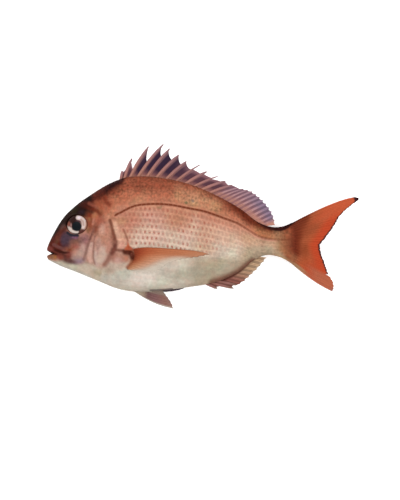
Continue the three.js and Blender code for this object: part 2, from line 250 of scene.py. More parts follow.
def lay(points):
    """Points of the fish's own frame, laid on the surface, in metres."""
    p = np.array(points, float)
    past = np.clip((p[..., 0] - SAG_START) / (TOTAL_LENGTH - SAG_START), 0, 1)
    height = np.maximum(p[..., 2] + RESTING_HEIGHT - TAIL_SAG * past ** SAG_CURVE, 0)
    return np.stack([p[..., 0] - MIDDLE_X, p[..., 1] - MIDDLE_Y, height], axis=-1) * MM


SCALE_RELIEF = 0.42
EDGE_BULGE = 0.55
SCALE_DOME = 0.9


def scale_height(columns, rows):
    """0 to 1: how high the overlapping scales stand at a column and row."""
    highest = np.full(np.shape(columns), -1.0)
    for shift in (-1, 0, 1):
        row = np.round(rows) + shift
        off = rows - row
        rear = (0.5 * np.mod(row, 2) - EDGE_BULGE * off ** 2 - columns) % 1
        highest = np.maximum(highest, 1 - rear - SCALE_DOME * off ** 2)
    return highest


class Paint:
    """Colour over the points of a piece, laid on one or more base colours through soft masks."""

    def __init__(self, x, y, colour):
        self.x = x
        self.y = y
        self.colour = np.zeros((len(x), 3)) + np.asarray(colour, float)

    def lay(self, colour, mask):
        """Lays a colour on as far as the mask says, from 0 to 1."""
        share = np.clip(mask, 0, 1)[:, None]
        self.colour += (np.asarray(colour) - self.colour) * share

    def streak(self, colour, points, width, fade, strength=1.0):
        """A colour along a path, which fades past half the width."""
        self.lay(colour, strength * stroke(self.x, self.y, points, width, fade))

    def patch(self, colour, centre, half_sizes, fade, turned=0.0, strength=1.0):
        """A colour inside an ellipse with a soft edge."""
        self.lay(colour, strength * spot(self.x, self.y, centre, half_sizes, fade, turned))

    def marks(self, table):
        """Lays on a table's rows in turn. A row whose place is a list of points is a streak."""
        for colour, place, *shape in table:
            mark = self.streak if isinstance(place, list) else self.patch
            mark(colour, place, *shape)


def ramp(value, stops):
    """Colours between named stops, each a value and its colour."""
    places = [place for place, _ in stops]
    colours = np.array([colour for _, colour in stops])
    return np.stack([np.interp(value, places, colours[:, k]) for k in range(3)], axis=-1)


def ramp_of(value, stops):
    """A size between named stops, each a value and its size."""
    return np.interp(value, [place for place, _ in stops], [size for _, size in stops])


# Helpers that make the meshes.

# The named colours are as they look under the studio's light. The skin itself is darker by this share.
SKIN_SHARE = 0.56


def finished(name, bm, points, colours, uv=None, masks=None):
    """A smooth mesh object from a bmesh, with its points in place, painted, and its doubles merged."""
    mesh = bpy.data.meshes.new(name)
    bm.to_mesh(mesh)
    bm.free()
    mesh.vertices.foreach_set("co", np.ascontiguousarray(points, dtype=np.float32).ravel())
    paint = mesh.attributes.new("paint", "FLOAT_COLOR", "POINT")
    rgba = np.concatenate([colours * SKIN_SHARE, np.ones((len(colours), 1))], axis=1)
    paint.data.foreach_set("color", rgba.astype(np.float32).ravel())
    for key, values in (masks or {}).items():
        layer = mesh.attributes.new(key, "FLOAT", "POINT")
        layer.data.foreach_set("value", np.asarray(values, dtype=np.float32))
    if uv is not None:
        corners = np.zeros(len(mesh.loops), dtype=np.int32)
        mesh.loops.foreach_get("vertex_index", corners)
        layer = mesh.uv_layers.new(name="pattern")
        layer.data.foreach_set("uv", uv[corners].astype(np.float32).ravel())
    mesh.update()
    merged = bmesh.new()
    merged.from_mesh(mesh)
    bmesh.ops.remove_doubles(merged, verts=merged.verts, dist=0.000002)
    bmesh.ops.recalc_face_normals(merged, faces=merged.faces)
    for face in merged.faces:
        face.smooth = True
    merged.to_mesh(mesh)
    merged.free()
    piece = bpy.data.objects.new(name, mesh)
    bpy.context.scene.collection.objects.link(piece)
    return piece


class Sheets:
    """Collects grids that are bent into fin blades, spines and the like, for one joined piece."""

    def __init__(self):
        self.bm = bmesh.new()
        self.points = []
        self.colours = []
        self.uv = []

    def grid(self, columns, rows, place):
        """Adds a grid. place(u, v) takes arrays from 0 to 1 and gives points, colours and UVs."""
        made = bmesh.ops.create_grid(self.bm, x_segments=columns, y_segments=rows, size=0.5)
        co = np.array([vert.co[:] for vert in made["verts"]])
        points, colours, uv = place(co[:, 0] + 0.5, co[:, 1] + 0.5)
        self.points.append(points)
        self.colours.append(colours)
        self.uv.append(uv)

    def finish(self, name):
        """Makes one piece of all the grids."""
        return finished(name, self.bm, lay(np.concatenate(self.points)),
                        np.concatenate(self.colours), np.concatenate(self.uv))


def blade(sheets, grid, middle, thickness, colour, rays):
    """A closed fin blade. middle(u, v) is its mid surface, u across the rays and v up them."""
    step = 1e-3

    def side_of(sign):
        def place(u, v):
            p = middle(u, v)
            across = middle(np.minimum(u + step, 1), v) - middle(np.maximum(u - step, 0), v)
            up = middle(u, np.minimum(v + step, 1)) - middle(u, np.maximum(v - step, 0))
            normal = np.cross(across, up)
            normal /= np.linalg.norm(normal, axis=-1, keepdims=True) + 1e-12
            half = thickness(u, v)[:, None] / 2
            rim = ((u > 1e-6) & (u < 1 - 1e-6) & (v > 1e-6) & (v < 1 - 1e-6))[:, None]
            return p + sign * normal * half * rim, colour(u, v), np.stack([u * rays, v], axis=-1)

        return place

    sheets.grid(*grid, side_of(1))
    sheets.grid(*grid, side_of(-1))


def spine(sheets, path, radius, colour, sides=10, steps=24, number=0):
    """A closed tapering spine along path(v), a function that gives points."""
    def place(u, v):
        p = path(v)
        along = path(np.minimum(v + 0.01, 1)) - path(np.maximum(v - 0.01, 0))
        along /= np.linalg.norm(along, axis=-1, keepdims=True) + 1e-12
        across = np.cross(along, np.array([0.0, 0.0, 1.0]))
        across /= np.linalg.norm(across, axis=-1, keepdims=True) + 1e-12
        other = np.cross(along, across)
        turn = 2 * math.pi * u
        r = (radius(v) * ((v > 1e-6) & (v < 1 - 1e-6)))[:, None]
        around = np.cos(turn)[:, None] * across + np.sin(turn)[:, None] * other
        return p + around * r, colour(v), np.stack([0 * u + number, v], axis=-1)

    sheets.grid(sides, steps, place)


def ray_ridge(stop, split_from, share):
    """1 on a ray and 0 midway between rays. Past split_from each ray forks into two."""
    off = np.abs(stop - np.round(stop))
    single = 1 - blend_in(off, 0.08, 0.34)
    forked = 1 - blend_in(np.abs(off - 0.2), 0.03, 0.2)
    return mix(single, forked, blend_in(share, split_from, split_from + 0.15))


# Materials.


class Wire:
    """An output of a node, for shader maths written as Python expressions."""

    def __init__(self, shader, socket):
        self.shader = shader
        self.socket = socket

    def maths(self, operation, a, b=0.0):
        return self.shader.node("ShaderNodeMath", {"operation": operation}, {0: a, 1: b})

    def __add__(self, other):
        return self.maths("ADD", self, other)

    def __radd__(self, other):
        return self.maths("ADD", other, self)

    def __sub__(self, other):
        return self.maths("SUBTRACT", self, other)

    def __rsub__(self, other):
        return self.maths("SUBTRACT", other, self)

    def __mul__(self, other):
        return self.maths("MULTIPLY", self, other)

    def __rmul__(self, other):
        return self.maths("MULTIPLY", other, self)

    def __truediv__(self, other):
        return self.maths("DIVIDE", self, other)

    def __mod__(self, other):
        return self.maths("FLOORED_MODULO", self, other)

    def __pow__(self, other):
        return self.maths("POWER", self, other)

    def __abs__(self):
        return self.maths("ABSOLUTE", self)

    def floored(self):
        return self.maths("FLOOR", self)

    def between(self, low, high):
        """0 up to low, 1 from high on, and smooth between."""
        return self.shader.node("ShaderNodeMapRange", {"interpolation_type": "SMOOTHSTEP"},
                                {"Value": self, "From Min": low, "From Max": high})


class Shader:
    """A material whose nodes are written one call each."""

    def __init__(self, name):
        self.material = bpy.data.materials.new(name)
        self.material.use_nodes = True
        self.tree = self.material.node_tree
        self.tree.nodes.clear()

    def node(self, kind, settings=None, values=None, output=0):
        """Adds a node: its type, its settings, and the values or links of its inputs."""
        made = self.tree.nodes.new(kind)
        for key, value in (settings or {}).items():
            setattr(made, key, value)
        for key, value in (values or {}).items():
            if isinstance(value, Wire):
                self.tree.links.new(value.socket, made.inputs[key])
            else:
                made.inputs[key].default_value = value
        return Wire(self, made.outputs[output])

    def place(self):
        """Object coordinates."""
        return self.node("ShaderNodeTexCoord", output=3)

    def painted(self):
        """The colour that was painted on the piece's points."""
        return self.node("ShaderNodeAttribute", {"attribute_name": "paint"})

    def mask(self, name):
        """A number that the piece's points carry."""
        return self.node("ShaderNodeAttribute", {"attribute_name": name}, output=2)

    def mixed(self, factor, a, b):
        """A colour between two, by a factor from 0 to 1."""
        return self.node("ShaderNodeMix", {"data_type": "RGBA"}, {0: factor, 6: a, 7: b}, output=2)

    def tinted(self, colour, amount):
        """A colour made lighter or darker by an amount around 1."""
        grey = self.node("ShaderNodeCombineXYZ", None, {0: amount, 1: amount, 2: amount})
        return self.node("ShaderNodeVectorMath", {"operation": "MULTIPLY"}, {0: colour, 1: grey})

    def turned(self, colour, share, ratio):
        """A colour whose red, green and blue lean towards the given ratios by a share."""
        lean = self.mixed(share, (1.0, 1.0, 1.0, 1.0), (*ratio, 1.0))
        return self.node("ShaderNodeVectorMath", {"operation": "MULTIPLY"}, {0: colour, 1: lean})

    def noise(self, vector, scale, detail=2.0, stretched=(1, 1, 1)):
        """Soft random grain, the finer the higher its scale."""
        scaled = self.node("ShaderNodeMapping", None, {"Vector": vector, "Scale": stretched})
        return self.node("ShaderNodeTexNoise", None, {"Vector": scaled, "Scale": scale, "Detail": detail})

    def finish(self, colour, roughness, height, depth, **constants):
        """Ends the material with its surface. Height drives the bump, as deep as depth in metres."""
        bump = self.node("ShaderNodeBump", None, {"Height": height, "Distance": depth, "Strength": 1.0})
        values = {"Base Color": colour, "Roughness": roughness, "Normal": bump}
        values.update(constants)
        surface = self.node("ShaderNodeBsdfPrincipled", None, values)
        out = self.tree.nodes.new("ShaderNodeOutputMaterial")
        self.tree.links.new(surface.socket, out.inputs["Surface"])
        return self.material


# Named colours, as linear light, roughly as they look in the render.

# The back's tone at its ridge, darker with painted shade where the skin turns away from the light.
RIDGE_SHADE = (0.25, 0.065, 0.034)
BACK = (0.315, 0.088, 0.046)
UPPER_BACK = (0.385, 0.127, 0.07)
UPPER_FLANK = (0.48, 0.172, 0.095)
AT_LINE = (0.53, 0.215, 0.13)
FLANK = (0.59, 0.285, 0.19)
MIDDLE_FLANK = (0.625, 0.35, 0.25)
PALE_FLANK = (0.68, 0.47, 0.37)
LOWER_FLANK = (0.65, 0.51, 0.4)
BELLY = (0.63, 0.55, 0.455)
# The belly's tone at its very edge, darker with painted shade where the skin turns away from the light.
BELLY_EDGE_SHADE = (0.52, 0.45, 0.36)
TAN_BACK = (0.52, 0.235, 0.13)
TAN_FLANK = (0.605, 0.35, 0.235)
TAN_BELLY = (0.45, 0.355, 0.25)
PALE_REAR = (0.645, 0.53, 0.42)
OLIVE = (0.42, 0.39, 0.29)
BACK_BROWN = (0.15, 0.028, 0.012)
BACK_BLACK = (0.035, 0.007, 0.006)
STEM_PALE = (0.55, 0.345, 0.215)
STEM_TAN = (0.475, 0.365, 0.25)
STEM_EDGE = (0.37, 0.285, 0.195)
# Painted shade on the body along the anal fin's base.
ANAL_BASE_SHADE = (0.19, 0.075, 0.048)
NEAR_BLACK = (0.02, 0.007, 0.005)
WINE = (0.1, 0.02, 0.012)
LINE_BROWN = (0.19, 0.042, 0.018)
SCALE_MARK = (0.4, 0.12, 0.08)
RED_LEAN = (1.0, 0.86, 0.84)
OCHRE_LEAN = (1.02, 1.2, 1.12)
OPERCLE = (0.49, 0.235, 0.165)
# A painted highlight on the gill cover.
OPERCLE_HIGHLIGHT = (0.57, 0.31, 0.23)
LOBE = (0.56, 0.395, 0.32)
CHEEK = (0.46, 0.27, 0.225)
SNOUT = (0.104, 0.015, 0.008)
THROAT = (0.56, 0.47, 0.365)
GREY_THROAT = (0.53, 0.49, 0.41)
CHIN = (0.51, 0.45, 0.375)
SLATE_VIOLET = (0.08, 0.046, 0.066)
LILAC = (0.33, 0.215, 0.25)
RUST = (0.25, 0.066, 0.034)
# Painted shade inside the mouth's slit and cleft.
MOUTH_SHADE = (0.045, 0.009, 0.006)
LIP_RED = (0.21, 0.05, 0.04)
# Painted shade in the head's grooves.
GROOVE_SHADE = (0.2, 0.08, 0.062)
PLATE_EDGE = (0.17, 0.048, 0.028)

# Where the brown and the black of the upper edge start, as levels along the fish.
BROWN_FROM = [
    (60, 0.45), (76, 0.55), (88, 1.3), (150, 1.3), (168, 0.9), (182, 0.45), (199, 0.05), (217, 0.2),
    (232, 0.15), (250, 0.1),
]
BLACK_FROM = [
    (60, 0.6), (76, 0.7), (88, 1.3), (190, 1.3), (205, 0.95), (217, 0.7), (224, 0.6), (232, 0.5),
    (250, 0.6),
]

# The upper and lower edge of the tail stem and tail fin, and the tones along them from the stem on.
TAIL_TOP = [
    (221, 14.1), (233, 14.2), (241, 16.8), (249, 20.4), (262, 26), (275, 31.6), (289, 38.2), (300, 42),
    (313, 43.6),
]
TAIL_BOTTOM = [
    (219, -14.4), (233, -16), (241.9, -20.4), (250, -25.4), (262.3, -34.4), (275, -44), (288, -51.5),
]
TAIL_TONES = [
    (226, (0.46, 0.24, 0.135)), (232, (0.385, 0.19, 0.1)), (238, (0.34, 0.125, 0.06)),
    (242, (0.29, 0.088, 0.041)), (246, (0.21, 0.045, 0.02)), (249, (0.17, 0.028, 0.012)),
    (252.5, (0.22, 0.04, 0.015)), (257, (0.42, 0.1, 0.04)), (266, (0.49, 0.1, 0.036)),
    (280, (0.55, 0.085, 0.033)),
]
TAIL_BLACK_EDGE = [(218, 0.5), (226, 2), (234, 3.8), (240, 3.6), (246, 1.6), (252, 0), (285, 0)]
tail_top_at = smooth_line(TAIL_TOP)
tail_bottom_at = smooth_line(TAIL_BOTTOM)


def chosen_colour(key):
    """A colour as it is set in the panel."""
    return tuple(getattr(bpy.context.scene.bream_colours, key))


def level_at(x, y):
    """-1 at the belly edge, 0 on the lateral line and 1 at the back ridge."""
    line = lateral_line_at(x)
    above = (y - line) / np.maximum(back_at(x) - line, 1)
    below = (y - line) / np.maximum(line - belly_at(x), 1)
    return np.clip(np.where(y > line, above, below), -1, 1)


def behind_head(x, y):
    """How far behind the head's rear edge a place is."""
    heights = [-51, -30, -20, -8, 0, 10, 22, 38, 62]
    edges = [50, 56, 61, 66, 69.6, 66, 63, 52, 50]
    return x - np.interp(y, heights, edges)


def row_levels():
    """The tones from the belly's edge up to the ridge of the back, each at its level. The tones at the two
    ends are darker with painted shade where the skin turns away from the light.
    """
    back = chosen_colour("back")
    flank = chosen_colour("flank")
    belly = chosen_colour("belly")
    return [
        (-1.0, BELLY_EDGE_SHADE), (-0.9, belly), (-0.72, belly), (-0.55, LOWER_FLANK), (-0.36, PALE_FLANK),
        (-0.24, MIDDLE_FLANK), (-0.12, flank), (0.04, AT_LINE), (0.3, UPPER_FLANK), (0.46, UPPER_BACK),
        (0.64, back), (0.92, back), (1.0, RIDGE_SHADE),
    ]


def rear_paint(paint, mask):
    """The tones of the tail stem's end and of the tail fin, which run into one another."""
    x, y = paint.x, paint.y
    place = x - 0.35 * np.maximum(y, 0) * blend_in(x, 246, 254) + 1.0 * np.maximum(-y - 13, 0)
    paint.lay(ramp(place, TAIL_TONES), mask)
    from_top = tail_top_at(x) - y
    from_bottom = y - tail_bottom_at(x)
    black = ramp_of(x, TAIL_BLACK_EDGE)
    halo = blend_in(from_top, black + 6, black) * blend_in(x, 234, 242) * blend_in(x, 268, 252)
    paint.lay((0.17, 0.03, 0.013), 0.7 * mask * halo)
    paint.lay((0.38, 0.28, 0.2), 0.8 * mask * blend_in(from_bottom, 8, 1.5) * blend_in(x, 242, 232))
    paint.lay((0.4, 0.24, 0.13), 0.9 * mask * blend_in(from_bottom, 4.4, 0.8) * blend_in(x, 270, 250))
    paint.patch((0.35, 0.13, 0.06), (246.6, -17.4), (5, 4), 0.9, turned=-40, strength=0.8)
    edge = blend_in(x, 220, 228) * blend_in(from_top, black + 2, black) * blend_in(x, 256, 244)
    paint.lay(BACK_BLACK, edge)


# The rows of these tables are laid on in turn. A streak's row holds its colour, points, width, fade and
# strength, and a patch's row its colour, centre, half sizes, fade, turn in degrees and strength.
FLANK_MARKS = [
    ((0.76, 0.66, 0.58), (97, -38), (15, 6.5), 0.7, 0, 0.8),
    ((0.72, 0.45, 0.32), (177, 4), (13, 7), 0.8, -25, 0.85),
    ((0.61, 0.35, 0.275), (102, 20), (15, 9), 0.8, 0, 0.65),
    ((0.68, 0.45, 0.36), (109, 7), (12, 7), 0.9, 0, 0.6),
    ((0.53, 0.235, 0.135), (131, 22), (10, 9), 0.9, 0, 0.75),
    ((0.68, 0.45, 0.35), (149, 13), (4, 9), 0.9, 0, 0.5),
    ((0.61, 0.35, 0.21), (199, 2), (6, 5), 0.9, 0, 0.6),
    ((0.61, 0.54, 0.45), (119, -37), (8, 5), 0.9, 0, 0.6),
    ((0.52, 0.205, 0.135), (84, 23), (11, 8), 0.9, 0, 0.9),
    ((0.46, 0.4, 0.3), (178, -26), (9, 4.6), 0.9, 28, 0.6),
    ((0.6, 0.3, 0.17), (150, 40), (14, 5), 0.9, -22, 0.6),
]


def body_paint(x, y):
    """The skin's colours over the trunk and head."""
    level = level_at(x, y)
    paint = Paint(x, y, ramp(level, row_levels()))
    above = blend_in(level, 0.0, 0.08)
    front = blend_in(x, 92, 80) * blend_in(level, 0.2, 0.32)
    paint.lay((0.46, 0.158, 0.085), front * blend_in(level, 0.64, 0.5))
    paint.patch((0.56, 0.265, 0.178), (75, 8), (12, 22), 0.6, strength=0.8)
    tan = blend_in(x, 120, 136) * blend_in(x, 186, 168) * blend_in(level, 0.04, 0.2)
    paint.lay(TAN_BACK, 0.85 * tan * blend_in(level, 1.05, 0.5))
    tan = blend_in(x, 142, 156) * blend_in(x, 178, 166) * blend_in(level, -0.1, -0.3)
    paint.lay(TAN_FLANK, 0.75 * tan * blend_in(level, -0.64, -0.5))
    paint.lay(TAN_BELLY, blend_in(x, 132, 156) * blend_in(level, -0.56, -0.7))
    paint.patch(OLIVE, (140, -33), (22, 6), 0.7, turned=8, strength=0.7)
    paint.patch(PALE_REAR, (181, -9), (14, 7.5), 0.7, turned=-25, strength=0.95)
    stem = blend_in(x, 188, 206)
    paint.lay(STEM_PALE, 0.8 * stem * blend_in(level, -0.08, -0.2))
    paint.lay(STEM_TAN, 0.9 * stem * blend_in(level, -0.4, -0.62))
    paint.lay(STEM_EDGE, 0.85 * stem * blend_in(level, -0.7, -0.9))
    paint.lay((0.46, 0.195, 0.09), 0.85 * blend_in(x, 202, 214) * above)
    paint.marks(FLANK_MARKS)
    # A painted highlight along the back's ridge under the spiny part of the dorsal fin.
    dorsal_base_highlight = blend_in(level, 0.95, 1.0) * blend_in(x, 80, 90) * blend_in(x, 134, 118)
    paint.lay((0.42, 0.18, 0.13), 0.5 * dorsal_base_highlight)
    brown_from = ramp_of(x, BROWN_FROM)
    paint.lay(BACK_BROWN, blend_in(level, brown_from, brown_from + 0.7))
    black_from = ramp_of(x, BLACK_FROM)
    paint.lay(BACK_BLACK, blend_in(level, black_from, black_from + 0.25))
    # Painted shade on the body where the anal fin's base meets it.
    paint.streak(ANAL_BASE_SHADE, [(166, -42), (183, -36.4), (196, -28.8), (206, -21)], 3, 5.5, 0.9)
    paint.streak((0.1, 0.07, 0.07), [(104, -49), (114, -48.8), (126, -47.6)], 0.2, 1.3, 0.85)
    paint.streak((0.45, 0.18, 0.085), [(214, 6.4), (224, 4.4), (236, 4.6)], 2.5, 2.5, 0.6)
    rear_paint(paint, blend_in(x, 223, 235))
    paint.streak((0.1, 0.12, 0.055), [(139.4, 38.2), (140, 38)], 1.2, 1.3, 0.7)
    paint.streak((0.16, 0.13, 0.14), [(146.2, 40.4), (146.6, 39.4)], 1, 1.3, 0.6)
    paint.streak((0.2, 0.15, 0.07), [(111.6, 33.4), (114.6, 33.4)], 1, 1.6, 0.5)
    head_paint(paint, blend_in(behind_head(x, y), 1.5, -1.5))
    return paint.colour


NAPE_TONES = [
    (3, (0.065, 0.012, 0.008)), (8, (0.14, 0.028, 0.014)), (12, (0.25, 0.058, 0.029)),
    (16, (0.35, 0.095, 0.046)), (21, (0.41, 0.127, 0.07)), (30, (0.45, 0.155, 0.09)),
]
MOUTH_LINE = [(8, -8.4), (12.9, -10.4), (18, -11.6), (23, -11.8)]
CHEEK_GROOVE = [
    (48.1, 11.8), (46.3, 6.2), (44.5, 1.6), (42.4, -4), (40.7, -9.1), (39.6, -13.7), (37.8, -18.6),
]
LOBE_GROOVE = [(49.4, 4.7), (48.1, -0.9), (47.8, -8.1), (47.6, -16.2), (49, -22.6)]
UPPER_PLATE_EDGE = [(64.4, 20.5), (66, 14.4), (67.6, 7.5), (69.2, 2.4), (69.8, -1.6)]
LOWER_PLATE_EDGE = [(69.8, -1.6), (69, -5.6), (67, -10.4), (64.6, -14.8), (61.8, -20), (59, -23.4)]
FIN_ROOT = [(75, -9.4), (80.4, -9.8), (84.6, -12.6), (86.6, -17.7), (84.9, -22.4), (82, -26)]
RED_TRIANGLE = [(82.2, -1.8), (81, -4.8), (78.8, -8.2), (82.2, -8.8), (86.4, -8.4), (83.6, -4.8)]


SNOUT_MARKS = [
    (SNOUT, (10, -1), (16.5, 13), 0.36, 42),
    ((0.082, 0.019, 0.014), [(9, 5), (14, 11.5), (20, 18)], 7, 5, 0.9),
    ((0.19, 0.08, 0.065), (28, 0), (8, 6), 0.6),
    (WINE, [(33, 35), (41, 38.6), (48, 44), (58, 52)], 4, 5, 0.95),
    (NEAR_BLACK, [(7, 8), (14, 18.5), (22, 28), (30, 35.4), (38, 40.6), (43, 42.4)], 2.6, 4),
    (NEAR_BLACK, [(19, 22), (27, 29), (34, 31.4), (41, 29.6)], 9.5, 4),
    (NEAR_BLACK, [(20.4, 17.4), (21.8, 21.6), (25.4, 25), (30, 26.6)], 1.4, 1.4),
    ((0.03, 0.014, 0.018), (35.6, 28.6), (3, 2.2), 0.9),
    ((0.028, 0.018, 0.008), (28.4, 30), (4, 2.4), 0.9, 40),
    ((0.12, 0.06, 0.055), (16.6, 14.6), (1.4, 3), 0.9, -30, 0.6),
    ((0.16, 0.04, 0.026), (12, 3.4), (3, 5), 0.95, -30, 0.7),
    ((0.15, 0.06, 0.035), (11, -1), (1.4, 3), 0.95, -30, 0.6),
    (SLATE_VIOLET, (19.4, 1.6), (4.6, 7), 0.45, -8),
    (SLATE_VIOLET, (24.6, 3.6), (3.4, 2.4), 0.8, 0, 0.9),
    ((0.1, 0.036, 0.045), (21.4, -4.6), (3, 2), 0.9, 0, 0.7),
    # Painted shadow under the eye's lower rim.
    ((0.028, 0.024, 0.034), [(22, 8), (24.6, 6.3), (28, 5.4), (32, 5.4)], 1.6, 1.4),
    ((0.17, 0.08, 0.14), [(27, 3.6), (31.6, 3.4)], 0.8, 1.2, 0.8),
    ((0.24, 0.09, 0.13), (29.8, 2.8), (1.4, 0.9), 0.9),
    ((0.22, 0.09, 0.062), (30.3, -1.4), (2.4, 1.6), 0.95),
    ((0.38, 0.12, 0.09), (30, -5.8), (3.8, 3.2), 1.0),
    ((0.33, 0.09, 0.06), (27, -6.4), (2.4, 3), 1.0, 0, 0.7),
    ((0.17, 0.065, 0.06), [(7.6, -3.6), (13, -6.2), (19, -8.2)], 1.4, 1.8, 0.75),
    ((0.22, 0.048, 0.019), (24.4, -9.3), (4.8, 2.6), 0.95, -6),
    ((0.13, 0.032, 0.022), [(9, -13), (13.6, -13.8), (18.6, -15), (21.6, -15.6)], 2, 4),
    # Painted shade in the mouth's slit.
    (MOUTH_SHADE, MOUTH_LINE, 0.7, 1.9, 0.95),
    (LIP_RED, (3.2, -7.6), (4.2, 2.4), 0.7, -25),
    ((0.28, 0.12, 0.062), (5.6, -15.8), (4.2, 2.4), 0.8, -12),
    ((0.32, 0.12, 0.03), (9.4, -16.2), (1.4, 1.6), 0.95, 0, 0.8),
    ((0.33, 0.19, 0.18), (30.4, -17), (3.4, 2.6), 0.9, 0, 0.8),
    (LILAC, (32.6, -20.6), (4, 2.2), 0.9, -4),
    ((0.22, 0.12, 0.135), (28.4, -21), (3.4, 2), 0.9, -8),
    ((0.115, 0.04, 0.032), (20, -18.8), (5.4, 3), 0.9, -20),
    ((0.125, 0.052, 0.048), (24.4, -20), (3.4, 2.2), 0.9, -15),
    ((0.22, 0.052, 0.034), (14.4, -16.8), (2.8, 2.4), 0.9),
    ((0.54, 0.25, 0.19), (29, -11.6), (3, 3), 1.0, 0, 0.7),
    ((0.2, 0.046, 0.033), (23.8, -14), (2.8, 3.4), 1.0, -10, 0.85),
]


def snout_paint(paint):
    """The dark forehead and snout, with the slate patch, the jaws and the colours under the eye, the painted
    shade in the mouth and the painted shadow under the eye.
    """
    paint.marks(SNOUT_MARKS)


CHEEK_MARKS = [
    (THROAT, [(20, -27), (34, -31), (50, -36), (66, -42)], 15, 7),
    ((0.62, 0.48, 0.37), [(34, -30), (42, -31), (50, -36)], 3, 4, 0.7),
    ((0.43, 0.34, 0.23), (53, -31.4), (6, 2.6), 0.9),
    (CHEEK, (33, -9), (12, 12), 0.5),
    ((0.3, 0.13, 0.13), (39, 1.6), (5.4, 5.4), 0.8, 0, 0.9),
    ((0.52, 0.33, 0.27), (33, -13), (3, 4), 0.9, 0, 0.8),
    ((0.55, 0.33, 0.28), (37, -6), (2.4, 3.4), 0.9, 0, 0.8),
    ((0.36, 0.24, 0.24), (36, -18.6), (3, 2.4), 0.9),
    (LOBE, (55, -15), (7.4, 10), 0.6),
]
GILL_COVER_MARKS = [
    ((0.135, 0.022, 0.01), [(41, 35), (46.6, 32.2), (51.7, 29.8), (54, 26.6)], 1.4, 3.8, 0.9),
    ((0.055, 0.012, 0.008), (38.6, 36.6), (6, 3.4), 0.9, -10),
    ((0.28, 0.08, 0.05), [(43, 37.4), (47, 35.6), (51.4, 33.2)], 0.8, 2.4, 0.7),
    ((0.33, 0.09, 0.045), [(50, 38.4), (54, 34), (56, 29)], 1.6, 2.6, 0.6),
    (RUST, (44, 18), (4.6, 9.4), 0.7, 4),
    ((0.19, 0.034, 0.016), (44, 24.4), (2.4, 3), 0.9, 0, 0.8),
    ((0.34, 0.14, 0.06), (43.6, 21.6), (1.1, 1.8), 0.9, 0, 0.8),
    ((0.42, 0.15, 0.074), (49, 24.4), (2.6, 2.8), 0.85),
    ((0.5, 0.2, 0.135), [(48.4, 21.8), (47.4, 16.6)], 0.8, 1.5, 0.9),
    ((0.27, 0.12, 0.055), (42.6, 10.6), (1.6, 2.4), 0.95, 0, 0.8),
    ((0.37, 0.1, 0.058), (53.4, 19.6), (4, 5), 0.9, 0, 0.95),
    ((0.22, 0.06, 0.034), (50.4, 12), (3.2, 5.4), 0.9, -12),
    ((0.42, 0.18, 0.12), (59, 8), (5.6, 8), 0.9, 0, 0.85),
    ((0.38, 0.12, 0.075), (57.6, 20), (3.4, 3.4), 0.9, 0, 0.85),
    ((0.54, 0.21, 0.135), (62, 23.4), (3.4, 3), 0.9),
    # A painted highlight on the gill cover.
    (OPERCLE_HIGHLIGHT, (57, 11.4), (3, 4.4), 0.9),
    ((0.46, 0.2, 0.135), (61.6, 12.6), (2, 5), 0.9, 0, 0.8),
    ((0.47, 0.255, 0.205), [(53, 1), (52.6, -6), (53, -12)], 2, 3, 0.8),
    ((0.58, 0.39, 0.31), [(55.6, -8), (54.6, -16)], 1.6, 2.4, 0.7),
    ((0.46, 0.205, 0.15), [(66, 2), (64.8, -4), (62, -10)], 2, 2.6, 0.7),
    ((0.66, 0.41, 0.33), [(46, -3), (44.6, -9), (43.7, -15), (45, -20)], 1.5, 2.2, 0.9),
    ((0.57, 0.38, 0.33), [(50, -12), (50, -20), (51.6, -24)], 1, 1.8, 0.7),
    # Painted shade in the cheek's and the gill lobe's grooves, in this row and the next two.
    (GROOVE_SHADE, CHEEK_GROOVE, 0.4, 1.9, 0.55),
    ((0.13, 0.045, 0.035), CHEEK_GROOVE[1:3], 0.2, 1.3, 0.6),
    ((0.28, 0.13, 0.11), LOBE_GROOVE, 0.3, 1.3, 0.7),
    (CHIN, [(2, -20.4), (10, -23), (20, -27.2), (32, -31.8), (44, -37)], 2.4, 2.2),
]


def head_paint(paint, head):
    """The head's colours, from its broad tones down to its marks, with painted shade in its grooves and a
    painted highlight on the gill cover.
    """
    x, y = paint.x, paint.y
    body = paint.colour.copy()
    paint.lay(OPERCLE, head)
    paint.lay(ramp(back_at(x) - y, NAPE_TONES), blend_in(y, 16, 26))
    paint.marks(CHEEK_MARKS)
    snout_paint(paint)
    paint.marks(GILL_COVER_MARKS)
    back_again = blend_in(behind_head(x, y), -0.6, 1.2) * blend_in(y, 20, 14)
    upper_again = blend_in(behind_head(x, y), 0, 14) * blend_in(y, 14, 20)
    paint.colour += (body - paint.colour) * np.maximum(back_again, upper_again)[:, None]
    shoulder_paint(paint)


